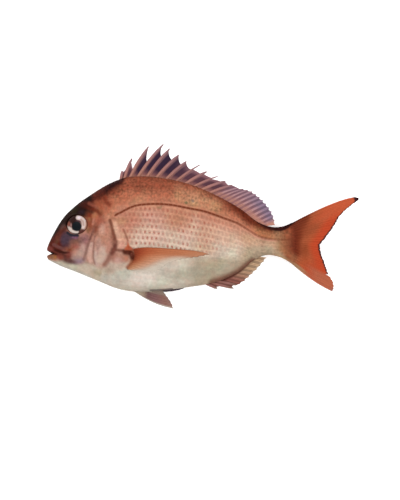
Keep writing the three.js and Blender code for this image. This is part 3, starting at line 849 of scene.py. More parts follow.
SHOULDER_MARKS = [
    (GREY_THROAT, [(62, -36), (70, -36), (80, -34)], 5, 5, 0.9),
    ((0.5, 0.36, 0.275), (62, -28), (8, 5), 0.9),
    ((0.19, 0.036, 0.017), [(58.4, 43), (60.4, 39), (63.4, 36)], 0.8, 3.6, 0.8),
    ((0.7, 0.4, 0.29), [(69.6, 17), (70.6, 11.6), (72.6, 6), (73.8, 1)], 1.2, 2.6, 0.7),
    ((0.5, 0.255, 0.13), (76.6, 20), (5, 3.4), 0.9, 0, 0.5),
    ((0.5, 0.24, 0.175), (73.6, -16), (11, 7), 0.6),
    ((0.42, 0.195, 0.145), (68.6, -15), (2.8, 5), 0.9),
    # A painted highlight on the breast's bulge.
    ((0.62, 0.4, 0.34), (72.4, -19.4), (3, 2.6), 0.9, 0, 0.7),
    ((0.46, 0.17, 0.11), (81, -17), (2.6, 4.4), 0.9, 0, 0.9),
    ((0.6, 0.45, 0.35), (74.4, -25), (7, 3), 0.9),
    ((0.68, 0.34, 0.26), (76.4, -4.4), (2.8, 3.4), 0.9, 0, 0.8),
    # Painted shade on the gill cover beside its upper rear edge.
    ((0.26, 0.095, 0.058), (67.2, 2.6), (2.4, 6.4), 0.95, 14, 0.75),
    (PLATE_EDGE, UPPER_PLATE_EDGE, 0.6, 2.4, 0.9),
    # Painted shadow under the gill cover's lower edge.
    ((0.27, 0.105, 0.074), LOWER_PLATE_EDGE, 0.6, 4.2, 0.85),
    # Deeper painted shadow under the gill cover's edge, below its rear corner.
    ((0.15, 0.042, 0.03), [(69.4, -4.6), (68.4, -7.6), (66.2, -12)], 0.6, 3.4, 0.9),
    ((0.26, 0.08, 0.05), [(77.6, 11.4), (80, 6), (82, 0.4)], 0.5, 1.5, 0.75),
    # Painted shadow along the top of the pectoral fin's root.
    ((0.19, 0.062, 0.042), [(67, -8.6), (71, -9), (77, -9.6)], 0.8, 2, 0.85),
    ((0.26, 0.055, 0.022), [(84, -8.6), (88.6, -12), (89, -18), (86, -24)], 3, 2.4, 0.9),
    ((0.3, 0.09, 0.045), FIN_ROOT[3:], 1.2, 3, 0.9),
    # Painted shade in the crescent groove round the pectoral fin's root.
    ((0.08, 0.012, 0.005), [(79.4, -10.8), (82, -11.2), (85, -12.6), (86.6, -16)], 2.3, 3.6, 0.97),
]


def shoulder_paint(paint):
    """The gill cover's rear edge, and what lies behind it down to the breast and the fin's root, with
    painted shade under the edge and at the fin's root and a painted highlight on the breast's bulge.
    """
    paint.marks(SHOULDER_MARKS)
    triangle = inside_by(paint.x, paint.y, RED_TRIANGLE)
    paint.lay((0.47, 0.095, 0.042), blend_in(triangle, -1.4, 0.9))


# The trunk and head.

ALONG = 330
AROUND = 300
LEFT_SIDES = 180
TURN_TABLE = 240
# How evenly the points round a section stand. The rest of them crowd towards the back and belly.
EVEN_TURNS = 0.3
# The power by which the rings crowd towards the snout.
RING_CROWDING = 1.2
MOUTH = {"height": -12.2, "half_gape": 1.6, "depth": 5.6, "reach": 11}
SOCKET_DEPTH = 4.5
SOCKET_RIM = 0.7
BREAST_HUMP = {"centre": (76, -18.6), "half_sizes": (9.5, 10.5), "height": 1.5}


def head_relief(x, y):
    """How far the plates and grooves of the head stand out of the bare skin, in millimetres."""
    lift = 1.2 * blend_in(inside_by(x, y, GILL_COVER), -1.2, 2.4) * blend_in(x, 26, 56)
    lift -= 0.3 * stroke(x, y, UPPER_PLATE_EDGE + LOWER_PLATE_EDGE[1:], 0.4, 2.4)
    lift += 0.8 * blend_in(inside_by(x, y, CHEEK_PLATE), -0.5, 1.6) * blend_in(x, 14, 38)
    lift += 0.4 * blend_in(inside_by(x, y, GILL_LOBE), -0.4, 1.6)
    lift -= 0.35 * stroke(x, y, CHEEK_GROOVE, 0.6, 1.8)
    lift -= 0.25 * stroke(x, y, LOBE_GROOVE, 0.4, 1.4)
    lift += 1.4 * spot(x, y, (5, -9), (8.6, 2.6), 0.35, turned=-18)
    lift += 1.0 * spot(x, y, (16, -10.4), (11, 3), 0.4, turned=-16)
    lift -= 0.9 * stroke(x, y, MOUTH_LINE, 0.4, 1.5)
    lift -= 1.5 * stroke(x, y, [(-1, -12.2), (5, -12.5), (10, -13)], 0.6, 1.2)
    lift += 0.8 * spot(x, y, (8, -16.8), (12, 3), 0.4, turned=-10)
    return lift


def body_relief(x, y, columns, rows):
    """How far anything stands out of the bare skin, in millimetres, and where there are scales."""
    lift = np.zeros(len(x))
    near_head = x < 92
    lift[near_head] = head_relief(x[near_head], y[near_head])
    eye = np.hypot((x - EYE_CENTRE[0]) / EYE_HALF_SIZES[0], (y - EYE_CENTRE[1]) / EYE_HALF_SIZES[1])
    lift += SOCKET_RIM * (1 - blend_in(np.abs(eye - 1.08), 0.04, 0.2))
    lift -= SOCKET_DEPTH * blend_in(eye, 1.03, 0.9)
    for px, py, size in NOSTRILS:
        lift -= 0.9 * spot(x, y, (px, py), (size * 1.3, size), 0.5, turned=50)
    hump_x, hump_y = BREAST_HUMP["centre"]
    half_long, half_high = BREAST_HUMP["half_sizes"]
    hump = np.hypot((x - hump_x) / half_long, (y - hump_y) / half_high)
    lift += BREAST_HUMP["height"] * np.exp(-2 * hump ** 2)
    lift -= 0.6 * stroke(x, y, FIN_ROOT[1:4], 0.8, 2.2)
    scaly = blend_in(behind_head(x, y), 0, 5) * blend_in(x, 246, 234) * blend_in(hump, 0.5, 1.3)
    level = level_at(x, y)
    strength = scaly * np.interp(level, [-1, -0.8, -0.5, 0, 1], [0.35, 0.5, 0.9, 1, 0.75])
    relief = bpy.context.scene.bream_sizes.scale_relief / MM
    lift += relief * strength * (scale_height(columns, rows) - 0.5)
    from_line = distance_to(x, y, smooth_path(LATERAL_LINE))
    lift -= 0.35 * blend_in(from_line, 1.2, 0.3) * scaly * blend_in(x, 66, 70)
    below = blend_in(y - lateral_line_at(x), -1, -3.5)
    low = blend_in(level, -0.5, -0.62)
    marks = np.where(below > 0, below * mix(1.0, 0.1, low), 0.25) * blend_in(x, 214, 196)
    marks *= mix(0.3, 1.0, blend_in(x, 182, 156)) * blend_in(x, 70, 88)
    flecks = blend_in(level, 0, 0.15)
    line_gap = from_line + 9 * blend_in(x, 69, 66)
    return lift, {"scaly": scaly, "marks": scaly * marks, "flecks": flecks, "line_gap": line_gap}


def section_lengths(xs):
    """For each place along the fish, how far round its section each turn is, from the back."""
    turns = np.linspace(0, math.pi, TURN_TABLE + 1)
    ring = skin_at(xs[:, None] + 0 * turns[None, :], turns[None, :] + 0 * xs[:, None])
    steps = np.linalg.norm(np.diff(ring[..., 1:], axis=1), axis=-1)
    return np.concatenate([np.zeros((len(xs), 1)), np.cumsum(steps, axis=1)], axis=1)


def rings_and_turns(bm):
    """The ring that each point of the sphere lies on, and its turn round the section that ring becomes."""
    co = np.array([vert.co[:] for vert in bm.verts])
    ring = np.rint(np.arccos(np.clip(co[:, 2], -1, 1)) / math.pi * ALONG).astype(int)
    step = np.rint(np.arctan2(co[:, 1], co[:, 0]) / (2 * math.pi) * AROUND).astype(int) % AROUND
    share = np.where(step <= LEFT_SIDES, step / LEFT_SIDES, (AROUND - step) / (AROUND - LEFT_SIDES))
    turn = mix(np.arccos(np.clip(1 - 2 * share, -1, 1)), math.pi * share, EVEN_TURNS)
    return ring, turn * np.where(step <= LEFT_SIDES, 1, -1)


def scale_rows(ring_x, ring, turn):
    """How many scale rows each point lies below the line that they follow. Above it is less than 0."""
    lengths = section_lengths(ring_x)

    def length_at(rings, turns):
        at = turns / math.pi * TURN_TABLE
        low = np.minimum(at.astype(int), TURN_TABLE - 1)
        return mix(lengths[rings, low], lengths[rings, low + 1], at - low)

    middle, half_depth = section_at(ring_x)
    line_turn = np.arccos(np.clip((row_line_at(ring_x) - middle) / half_depth, -1, 1))
    line_length = length_at(np.arange(len(ring_x)), line_turn)
    below = length_at(ring, np.abs(turn)) - line_length[ring]
    x = ring_x[ring]
    return np.where(below > 0, below / row_gap_at(x), below / row_gap_above_at(x))


class BREAM_OT_body(bpy.types.Operator):
    """Trunk and head: a sphere's rings become sections, with head plates, scales and grooves in relief"""
    bl_idname = "bream.body"
    bl_label = "Trunk and Head"

    def execute(self, context):
        bm = bmesh.new()
        bmesh.ops.create_uvsphere(bm, u_segments=AROUND, v_segments=ALONG, radius=1)
        ring, turn = rings_and_turns(bm)
        ring_x = TRUNK_LENGTH * (np.arange(ALONG + 1) / ALONG) ** RING_CROWDING
        x = ring_x[ring]
        points = skin_at(x, turn)
        y = points[:, 1]
        rows = scale_rows(ring_x, ring, turn)
        columns = np.interp(x, column_steps, column_counts)
        lift, masks = body_relief(x, y, columns, rows)
        rounding = np.clip(np.minimum(x / SNOUT_ROUNDING, (TRUNK_LENGTH - x) / TAIL_ROUNDING), 0, 1) ** 0.5
        half_depth = section_at(ring_x)[1][ring]
        out = np.stack([0 * x, np.cos(turn) * half_width_at(x), np.sin(turn) * half_depth], axis=-1)
        out /= np.linalg.norm(out, axis=-1, keepdims=True) + 1e-9
        points += out * (lift * rounding)[:, None]
        cleft = np.exp(-((y - MOUTH["height"]) / MOUTH["half_gape"]) ** 2)
        points[:, 0] += MOUTH["depth"] * cleft * blend_in(x, MOUTH["reach"], 0)
        colours = body_paint(x, y)
        # Painted shade deep in the mouth's cleft.
        colours += (np.array(MOUTH_SHADE) - colours) * (cleft * blend_in(x, 9, 3))[:, None]
        body = finished("body", bm, lay(points), colours, np.stack([columns, rows], axis=-1), masks)
        body.data.materials.append(skin_material())
        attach(body, "root")
        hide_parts("fish")
        return {"FINISHED"}


# Fins along the back and under the tail.

ROOT_DEPTH = 4.0
MEDIAN_GRID = (14, 36)
# Radius of a spine from root to tip. A spine behind which the skin stays low ends in a thread.
PLAIN_SPINE = [(0, 1.5), (0.5, 1.5), (0.8, 1.3), (0.93, 0.85), (1, 0.4)]
THREADED_SPINE = [(0, 1.35), (0.55, 1.2), (0.72, 0.8), (1, 0.5)]
THREAD_REACH = 0.72
# A spine: where it is rooted along the fish, its tip, and how far up it the skin behind it and
# the skin before it reach, as shares of its length.
DORSAL_SPINES = [
    (75, 76, 70.4, 0.8, 0.5), (78.6, 85.8, 83, 0.86, 0.6), (84.4, 102.8, 95.2, 0.97, 0.3),
    (92.4, 117.8, 97.6, 0.94, 0.46), (101.4, 124, 93, 0.94, 0.7), (111, 133.2, 86.8, 0.97, 0.74),
    (121, 140.6, 80, 0.96, 0.78), (131, 154.2, 76.6, 0.71, 0.68), (140.4, 161, 69.6, 0.82, 0.76),
    (149, 172, 64.9, 0.71, 0.78), (157, 179.4, 60, 0.98, 0.86), (164.6, 186.2, 56, 0.98, 0.88),
]
DORSAL_SOFT = {"count": 13, "from": 170.5, "to": 222}
DORSAL_SOFT_TIPS = [(192.4, 53.2), (204.8, 50.6), (214.6, 43.4), (222, 35.2), (227.2, 26), (228.8, 16)]
ANAL_SPINES = [(161.5, 171, -47.6, 0.8, 0.5), (166.5, 187.6, -47.4, 0.9, 0.6), (172, 191, -44, 0.97, 0.86)]
ANAL_SOFT = {"count": 8, "from": 177.5, "to": 214}
ANAL_SOFT_TIPS = [(194, -43), (198.6, -40), (206.4, -32.6), (213.8, -25.2), (220.6, -16.4)]


def rays_of(spines, soft, soft_tips, line_at):
    """Roots and tips of a fin's spines and soft rays. The roots lie a little inside the flesh."""
    roots = [(x, float(line_at(np.float64(x)))) for x, *_ in spines]
    tips = [(tip_x, tip_y) for _, tip_x, tip_y, *_ in spines]
    for i in range(soft["count"]):
        share = i / (soft["count"] - 1)
        x = mix(soft["from"], soft["to"], share)
        roots.append((x, float(line_at(np.float64(x)))))
        tips.append(tuple(path_point(soft_tips, share)))
    roots, tips = np.array(roots), np.array(tips)
    inward = roots - tips
    inward /= np.linalg.norm(inward, axis=1, keepdims=True)
    return roots + ROOT_DEPTH * inward, tips


def along_rays(roots, tips, stop, share, bend=0.0):
    """Points of the middle plane, share of the way up at a ray number that may lie between rays."""
    low = np.clip(np.floor(stop).astype(int), 0, len(roots) - 2)
    part = (stop - low)[:, None]
    root = mix(roots[low], roots[low + 1], part)
    tip = mix(tips[low], tips[low + 1], part)
    flat = mix(root, tip, share[:, None])
    run = tip - root
    across = np.stack([-run[:, 1], run[:, 0]], axis=-1)
    flat += across * (bend * np.sin(math.pi * share))[:, None]
    return np.concatenate([flat, np.zeros((len(flat), 1))], axis=1)


def keep_fin(sheets, name):
    """Joins a fin's sheets into its one piece."""
    piece = sheets.finish(name)
    piece.data.materials.append(fin_material())
    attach(piece, "root")


def median_fin(name, spines, soft, soft_tips, line_at, colour_at, spine_colour, bend):
    """A fin of the back or the tail stem: spines with skin between them, and soft rays behind."""
    roots, tips = rays_of(spines, soft, soft_tips, line_at)
    sheets = Sheets()
    last_spine = len(spines) - 1
    for i in range(len(roots) - 1):
        spiny = i <= last_spine
        behind = spines[i][3] if spiny else 1.0
        before = spines[i + 1][4] if i + 1 <= last_spine else 0.98

        def middle(u, v, i=i, spiny=spiny, behind=behind, before=before):
            if spiny:
                reach = before + (behind - before) * (1 - u) ** 1.7
            else:
                reach = 1 - 0.07 * np.sin(math.pi * u) ** 0.8
            return along_rays(roots, tips, i + u, v * reach, bend)

        def thickness(u, v, i=i, spiny=spiny):
            if spiny:
                return 0.45 + 0.25 * np.cos(6 * math.pi * u) * v
            return (0.45 + 0.85 * ray_ridge(i + u, 0.45, v)) * (1.15 - 0.6 * v)

        def colour(u, v, i=i):
            return colour_at(i + u, v)

        blade(sheets, MEDIAN_GRID, middle, thickness, colour, 1.0)
    for i in range(len(spines)):
        def path(v, i=i):
            return along_rays(roots, tips, np.full(len(v), float(i)), v, bend)

        def radius(v, i=i):
            return ramp_of(v, THREADED_SPINE if spines[i][3] < THREAD_REACH else PLAIN_SPINE)

        spine(sheets, path, radius, spine_colour, number=i)
    keep_fin(sheets, name)


SPINE_TIP = (0.35, 0.18, 0.19)
SPINE_MIDDLE = (0.44, 0.2, 0.18)
SPINE_BASE = (0.55, 0.25, 0.175)
MEMBRANE_BLACK = (0.038, 0.02, 0.043)
MEMBRANE_MAUVE = (0.34, 0.16, 0.18)
MEMBRANE_DEEP = (0.11, 0.045, 0.062)
MEMBRANE_BASE = (0.3, 0.12, 0.11)
FIN_FOOT = (0.48, 0.23, 0.18)
SOFT_LIGHT = (0.62, 0.345, 0.345)
SOFT_DARK = (0.24, 0.11, 0.125)
SOFT_BASE = (0.6, 0.27, 0.2)
SOFT_LILAC = (0.265, 0.185, 0.27)


def dorsal_spine_colour(share):
    """Orange-pink at the root of a spine, and greyer towards its tip."""
    return ramp(share, [(0, SPINE_BASE), (0.45, SPINE_MIDDLE), (0.85, SPINE_TIP), (1, (0.3, 0.15, 0.16))])


def dorsal_colour(stop, share):
    """Blackish skin high between the front spines, mauve behind, and pink stripes on the soft part."""
    dark = blend_in(stop, 1.4, 2.6) * blend_in(stop, 8, 5)
    skin = ramp(share, [(0.14, FIN_FOOT), (0.23, MEMBRANE_BASE), (0.42, MEMBRANE_DEEP),
                        (0.75, MEMBRANE_DEEP), (1, MEMBRANE_MAUVE)])
    darker = ramp(share, [(0.12, FIN_FOOT), (0.18, MEMBRANE_BASE), (0.27, (0.14, 0.06, 0.075)),
                          (0.4, MEMBRANE_BLACK), (1, MEMBRANE_BLACK)])
    colour = mix(skin, darker, dark[:, None])
    off = np.abs(stop - 0.06 - np.round(stop - 0.06))
    near = (1 - blend_in(off, 0.12, 0.27)) * 0.65
    colour = mix(colour, dorsal_spine_colour(share), near[:, None])
    stripe = blend_in(ray_ridge(stop, 2, share), 0.25, 0.8)
    stripes = mix(np.array(SOFT_DARK)[None, :], np.array(SOFT_LIGHT)[None, :], stripe[:, None])
    lilac = blend_in(share, 0.42, 0.85) * mix(0.35, 0.9, blend_in(stop, 14, 19))
    stripes = mix(stripes, np.array(SOFT_LILAC) * mix(0.65, 1.3, stripe)[:, None], lilac[:, None])
    base = 0.9 * blend_in(share, 0.5, 0.25) * (0.35 + 0.65 * np.maximum(stripe, blend_in(stop, 18, 21)))
    base = np.maximum(base, blend_in(stop, 22.2, 23.8))
    stripes = mix(stripes, np.array(SOFT_BASE), base[:, None])
    return mix(colour, stripes, blend_in(stop, 10.4, 12)[:, None])


def anal_colour(stop, share):
    """Red-brown in front and pale tan behind, striped by its rays."""
    front = np.array((0.32, 0.115, 0.09))
    rear = np.array((0.56, 0.36, 0.22))
    colour = mix(front, rear, blend_in(stop, 3, 7.5)[:, None])
    stripe = blend_in(ray_ridge(stop, 2, share), 0.2, 0.8)
    colour = colour * mix(0.62, 1.2, stripe)[:, None]
    base = 0.9 * blend_in(share, 0.42, 0.25) * blend_in(stop, 9, 6)
    colour = mix(colour, np.array((0.12, 0.03, 0.02)), base[:, None])
    pale = 0.5 * blend_in(share, 0.8, 1) * blend_in(stop, 4, 7)
    return mix(colour, np.array((0.58, 0.47, 0.36)), pale[:, None])


def anal_spine_colour(share):
    """Red-brown, and duller towards the tip."""
    return ramp(share, [(0, (0.3, 0.12, 0.09)), (0.6, (0.33, 0.15, 0.13)), (1, (0.22, 0.13, 0.09))])


class BREAM_OT_median_fins(bpy.types.Operator):
    """The fin along the back, with its stiff spines, and the smaller fin under the tail stem"""
    bl_idname = "bream.median_fins"
    bl_label = "Dorsal and Anal Fins"

    def execute(self, context):
        median_fin("dorsal_fin", DORSAL_SPINES, DORSAL_SOFT, DORSAL_SOFT_TIPS, back_at,
                   dorsal_colour, dorsal_spine_colour, 0.03)
        median_fin("anal_fin", ANAL_SPINES, ANAL_SOFT, ANAL_SOFT_TIPS, belly_at,
                   anal_colour, anal_spine_colour, 0.0)
        return {"FINISHED"}


# The tail.

TAIL = {
    "rays": 19, "root_x": 236.0, "root_top": 12.8, "root_bottom": -14.0,
    "upper_edge_bow": (285.6, 40.6), "lower_edge_bow": (262.6, -40), "edge_bow_fade": 5, "thickness": 2.0,
    "tear_at": 0.83, "tear_half_width": 0.008, "tear_depth": 0.075,
}
TAIL_GRID = (300, 90)
UPPER_MARGIN = [
    (308.8, 44.3), (313, 42.8), (311.6, 40.2), (304.4, 35), (294.6, 25.8), (288, 14.8), (280, 3.8),
    (273.8, -4),
]
LOWER_MARGIN = [
    (273.8, -4), (275.2, -12.8), (278.5, -21.7), (281.8, -31.4), (284.6, -36.4), (287.6, -42.8),
    (288, -47), (286.2, -50.6),
]


def tail_margin(u):
    """The rear edge of the tail: its upper lobe up to 0.5, and then its lower one."""
    upper = path_point(UPPER_MARGIN, 2 * u).T
    lower = path_point(LOWER_MARGIN, 2 * u - 1).T
    return np.where((u < 0.5)[:, None], upper, lower)


def tail_middle(u, v):
    """The tail's mid surface. Its rays run straight in the middle and bow at both edges."""
    root = np.stack([0 * u + TAIL["root_x"], mix(TAIL["root_top"], TAIL["root_bottom"], u)], axis=-1)
    tip = tail_margin(u)
    edge_bow = np.where((u < 0.5)[:, None], TAIL["upper_edge_bow"], TAIL["lower_edge_bow"])
    bow = mix((root + tip) / 2, edge_bow, (np.abs(2 * u - 1) ** TAIL["edge_bow_fade"])[:, None])
    tear = TAIL["tear_depth"] * np.exp(-((u - TAIL["tear_at"]) / TAIL["tear_half_width"]) ** 2)
    tear += 0.02 * blend_in(u, 0.79, 0.828) * blend_in(u, 0.83, 0.824)
    ragged = 0.007 * np.sin(u * 3 * math.pi * TAIL["rays"]) + 0.011 * np.sin(u * 41 + 1)
    v = v * (1 - tear - np.abs(ragged) * blend_in(u, 0.02, 0.08))
    t = v[:, None]
    flat = (1 - t) ** 2 * root + 2 * t * (1 - t) * bow + t ** 2 * tip
    wave = 0.5 * np.sin(u * math.pi * 2.2 + 0.6) * v ** 2
    return np.concatenate([flat, wave[:, None]], axis=1)


TAIL_MARKS = [
    ((0.25, 0.05, 0.02), (258, 14), (6, 8), 0.9, -20, 0.8),
    ((0.37, 0.085, 0.033), (268, 14), (9, 6), 0.9, 35, 0.9),
    ((0.3, 0.06, 0.02), (259, -9), (4, 7), 0.9, 0, 0.7),
    ((0.42, 0.1, 0.04), (270, -18), (8, 5), 0.9, -50, 0.8),
    ((0.46, 0.14, 0.06), (283, 24), (7, 3), 0.9, 35, 0.7),
]


def tail_colour(u, v):
    """Dark at the root, ochre-red in the middle, orange-red to the rear, and a dark rear margin."""
    p = tail_middle(u, v)
    x, y = p[:, 0], p[:, 1]
    paint = Paint(x, y, (0.5, 0.09, 0.036))
    rear_paint(paint, np.ones(len(x)))
    paint.marks(TAIL_MARKS)
    paint.lay((0.55, 0.068, 0.023), 0.95 * blend_in(v, 0.62, 0.86) * blend_in(u, 0.9, 0.8))
    paint.lay((0.61, 0.115, 0.046), 0.85 * blend_in(v, 0.35, 0.6) * blend_in(u, 0.3, 0.12))
    paint.lay((0.48, 0.135, 0.07), 0.9 * blend_in(u, 0.78, 0.88) * blend_in(v, 0.4, 0.7))
    rays = ray_ridge(u * (TAIL["rays"] - 1), 0.35, v)
    paint.colour *= mix(0.92, 1.06, rays)[:, None]
    lengths = np.linalg.norm(tail_margin(u) - np.stack([0 * u + TAIL["root_x"], 0 * u], axis=-1), axis=1)
    from_margin = (1 - v) * lengths
    paint.lay((0.055, 0.012, 0.012), blend_in(from_margin, 2.8, 1.1) * blend_in(u, 0.84, 0.81))
    from_tip = np.hypot(x - 313, y - 43)
    paint.lay((0.04, 0.012, 0.015), blend_in(from_tip, 9, 5) * blend_in(from_margin, 6, 3))
    paint.lay((0.04, 0.012, 0.015), blend_in(from_tip, 6, 4))
    paint.lay((0.36, 0.14, 0.11), 0.7 * blend_in(np.hypot(x - 286.5, y + 50.5), 6, 1.5))
    return paint.colour


class BREAM_OT_tail(bpy.types.Operator):
    """The forked tail fin"""
    bl_idname = "bream.tail"
    bl_label = "Tail Fin"

    def execute(self, context):
        sheets = Sheets()

        def thickness(u, v):
            rays = ray_ridge(u * (TAIL["rays"] - 1), 0.35, v)
            return (0.5 + 0.9 * rays) * mix(TAIL["thickness"], 0.45, v ** 0.6)

        blade(sheets, TAIL_GRID, tail_middle, thickness, tail_colour, TAIL["rays"] - 1.0)
        keep_fin(sheets, "tail_fin")
        return {"FINISHED"}


# The paired fins.

PECTORAL_RAYS = 14
PECTORAL_GRID = (130, 60)
PECTORAL_ROOTS = [(86.4, -8), (88, -17), (81, -28)]
PECTORAL_TIPS = [
    (163.4, -13.6), (150, -16.2), (136.6, -18), (125, -21.4), (118, -25.2), (111, -29.2), (104, -31.6),
    (96, -31), (88.6, -29.8),
]
PECTORAL_BOW = 3.1
PECTORAL_STANDOFF = {1: 0.9, -1: 0.1}
PECTORAL_TOP = [
    (0, (0.21, 0.034, 0.013)), (0.1, (0.34, 0.06, 0.023)), (0.22, (0.46, 0.108, 0.043)),
    (0.42, (0.51, 0.16, 0.07)), (0.75, (0.53, 0.19, 0.09)), (1, (0.5, 0.22, 0.12)),
]
PECTORAL_MIDDLE = [
    (0, (0.23, 0.042, 0.016)), (0.15, (0.41, 0.105, 0.043)), (0.3, (0.52, 0.185, 0.088)),
    (0.55, (0.61, 0.29, 0.17)), (1, (0.63, 0.39, 0.27)),
]
PECTORAL_LOW = [
    (0, (0.4, 0.13, 0.056)), (0.25, (0.55, 0.26, 0.14)), (0.5, (0.59, 0.36, 0.245)),
    (0.8, (0.61, 0.42, 0.32)), (1, (0.63, 0.47, 0.37)),
]
PELVIC_ROOTS = [(85.6, -48.8), (94.4, -47.4)]
PELVIC_BOW = -3.0
PELVIC_RAYS = 6
PELVIC_GRID = (80, 50)
PELVIC_FINS = {
    1: {"tips": [(127.6, -68), (125.2, -62), (121.8, -57), (118.8, -53.2), (116.8, -49.6)], "out": 3.4,
        "down": -4.6},
    -1: {"tips": [(120, -51), (130, -49.8), (138, -47.4), (131, -45.8), (124, -45)], "out": -4.4,
         "down": -7.6},
}


def free_edge(u, v):
    """1 at the pectoral fin's lower and rear edge, where it lies close on the skin and looks like it."""
    return blend_in(0.55 * u + v, 0.85, 1.25) * blend_in(u, 0.14, 0.4)


def pectoral_middle(side):
    """The mid surface of a pectoral fin, which lies along the skin."""
    def middle(u, v):
        roots = path_point(PECTORAL_ROOTS, u).T
        tips = path_point(PECTORAL_TIPS, u).T
        v = v * (1 - 0.02 * np.abs(np.sin(u * math.pi * (PECTORAL_RAYS - 1))))
        flat = mix(roots, tips, v[:, None])
        flat[:, 1] += PECTORAL_BOW * (1 - u) * (1 - (2 * v - 1) ** 4)
        skin = skin_over(flat[:, 0], flat[:, 1], side)
        standoff = mix(PECTORAL_STANDOFF[side] + 0.3, -0.05, free_edge(u, v))
        standoff *= 1 - 0.75 * blend_in(v, 0.5, 1)
        sunk_root = 0.7 * blend_in(v, 0.05, 0)
        skin[:, 2] += side * (standoff * blend_in(v, -0.12, 0.3) - sunk_root)
        return skin

    return middle


def pectoral_thickness(u, v):
    """Thick on the rays, and thinner towards the tips."""
    return (0.35 + 0.5 * ray_ridge(u * (PECTORAL_RAYS - 1), 0.5, v)) * (1.25 - 0.8 * v)


def pectoral_colour(u, v):
    """Deep orange-red along the upper front, running into the skin's colour at the lower tips."""
    colour = mix(ramp(v, PECTORAL_TOP), ramp(v, PECTORAL_MIDDLE), blend_in(u, 0.2, 0.5)[:, None])
    colour = mix(colour, ramp(v, PECTORAL_LOW), blend_in(u, 0.5, 0.85)[:, None])
    rays = ray_ridge(u * (PECTORAL_RAYS - 1), 0.5, v)
    colour = colour * mix(0.92, 1.05, rays)[:, None]
    rim = 0.6 * blend_in(u, 0.05, 0.01) * blend_in(v, 1, 0.6)
    colour = mix(colour, np.array((0.4, 0.12, 0.05)), rim[:, None])
    place = pectoral_middle(1)(u, v)
    under = body_paint(place[:, 0], place[:, 1])
    return mix(colour, under, (0.9 * free_edge(u, v))[:, None])


def pelvic_middle(side):
    """The mid surface of a pelvic fin: the left one spread, the right one folded."""
    fin = PELVIC_FINS[side]

    def middle(u, v):
        roots = path_point(PELVIC_ROOTS, u).T
        tips = path_point(fin["tips"], u).T
        v = v * (1 - 0.02 * np.abs(np.sin(u * math.pi * (PELVIC_RAYS - 1))))
        flat = mix(roots, tips, v[:, None])
        if side > 0:
            flat[:, 1] += PELVIC_BOW * (1 - u) * np.sin(math.pi * v)
        return np.concatenate([flat, mix(fin["out"], fin["down"], v)[:, None]], axis=1)

    return middle


def pelvic_thickness(u, v):
    """Thick on the rays, with a stiff spine along the front edge."""
    front_spine = 1.2 * blend_in(u, 0.08, 0) * (1 - v)
    return 0.5 + 1.0 * ray_ridge(u * (PELVIC_RAYS - 1), 0.5, v) * (1 - 0.7 * v) + front_spine


def pelvic_colour(side):
    """Tan at the root and brown-mauve outwards. The folded right one is slate grey."""
    def colour(u, v):
        if side < 0:
            base = np.tile(np.array((0.1, 0.07, 0.085)), (len(u), 1))
            return mix(base, np.array((0.36, 0.27, 0.18)), blend_in(v, 0.5, 0.2)[:, None])
        base = ramp(v, [(0.22, (0.44, 0.33, 0.24)), (0.36, (0.21, 0.105, 0.1)), (0.62, (0.27, 0.13, 0.125)),
                        (0.85, (0.31, 0.155, 0.125)), (1, (0.33, 0.19, 0.16))])
        base = base * mix(0.85, 1.12, ray_ridge(u * (PELVIC_RAYS - 1), 0.5, v))[:, None]
        base = mix(base, np.array((0.4, 0.3, 0.24)), (0.9 * blend_in(u, 0.6, 0.85))[:, None])
        base = mix(base, np.array((0.52, 0.43, 0.36)), (0.9 * blend_in(u, 0.12, 0.05))[:, None])
        return mix(base, np.array((0.52, 0.43, 0.32)), (0.9 * blend_in(v, 0.28, 0.1))[:, None])

    return colour


class BREAM_OT_paired_fins(bpy.types.Operator):
    """The pectoral fins, laid back along the flanks, and the pelvic fins below the belly"""
    bl_idname = "bream.paired_fins"
    bl_label = "Pectoral and Pelvic Fins"

    def execute(self, context):
        for side, word in SIDES:
            sheets = Sheets()
            blade(sheets, PECTORAL_GRID, pectoral_middle(side), pectoral_thickness, pectoral_colour,
                  PECTORAL_RAYS - 1.0)
            keep_fin(sheets, "pectoral_fin_" + word)
            sheets = Sheets()
            blade(sheets, PELVIC_GRID, pelvic_middle(side), pelvic_thickness, pelvic_colour(side),
                  PELVIC_RAYS - 1.0)
            keep_fin(sheets, "pelvic_fin_" + word)
        return {"FINISHED"}


# Eyes.

EYE_BALL_HALF_SIZES = (11.4, 10.6, 6.5)
EYE_PROUD = 3.0
EYE_GRID = {"u_segments": 128, "v_segments": 96}
CORNEA_RADIUS = 5.6
CORNEA_HEIGHT = 0.6
IRIS_HALF_SIZES = (10.2, 9.5)
IRIS_DARK = (0.034, 0.011, 0.009)
# The pale iris ring, lighter along its top with a painted highlight.
IRIS_RING_AND_HIGHLIGHT = (0.74, 0.58, 0.53)
IRIS_CREAM = (0.76, 0.63, 0.56)
IRIS_TAN = (0.4, 0.24, 0.19)
PUPIL = (0.008, 0.011, 0.014)


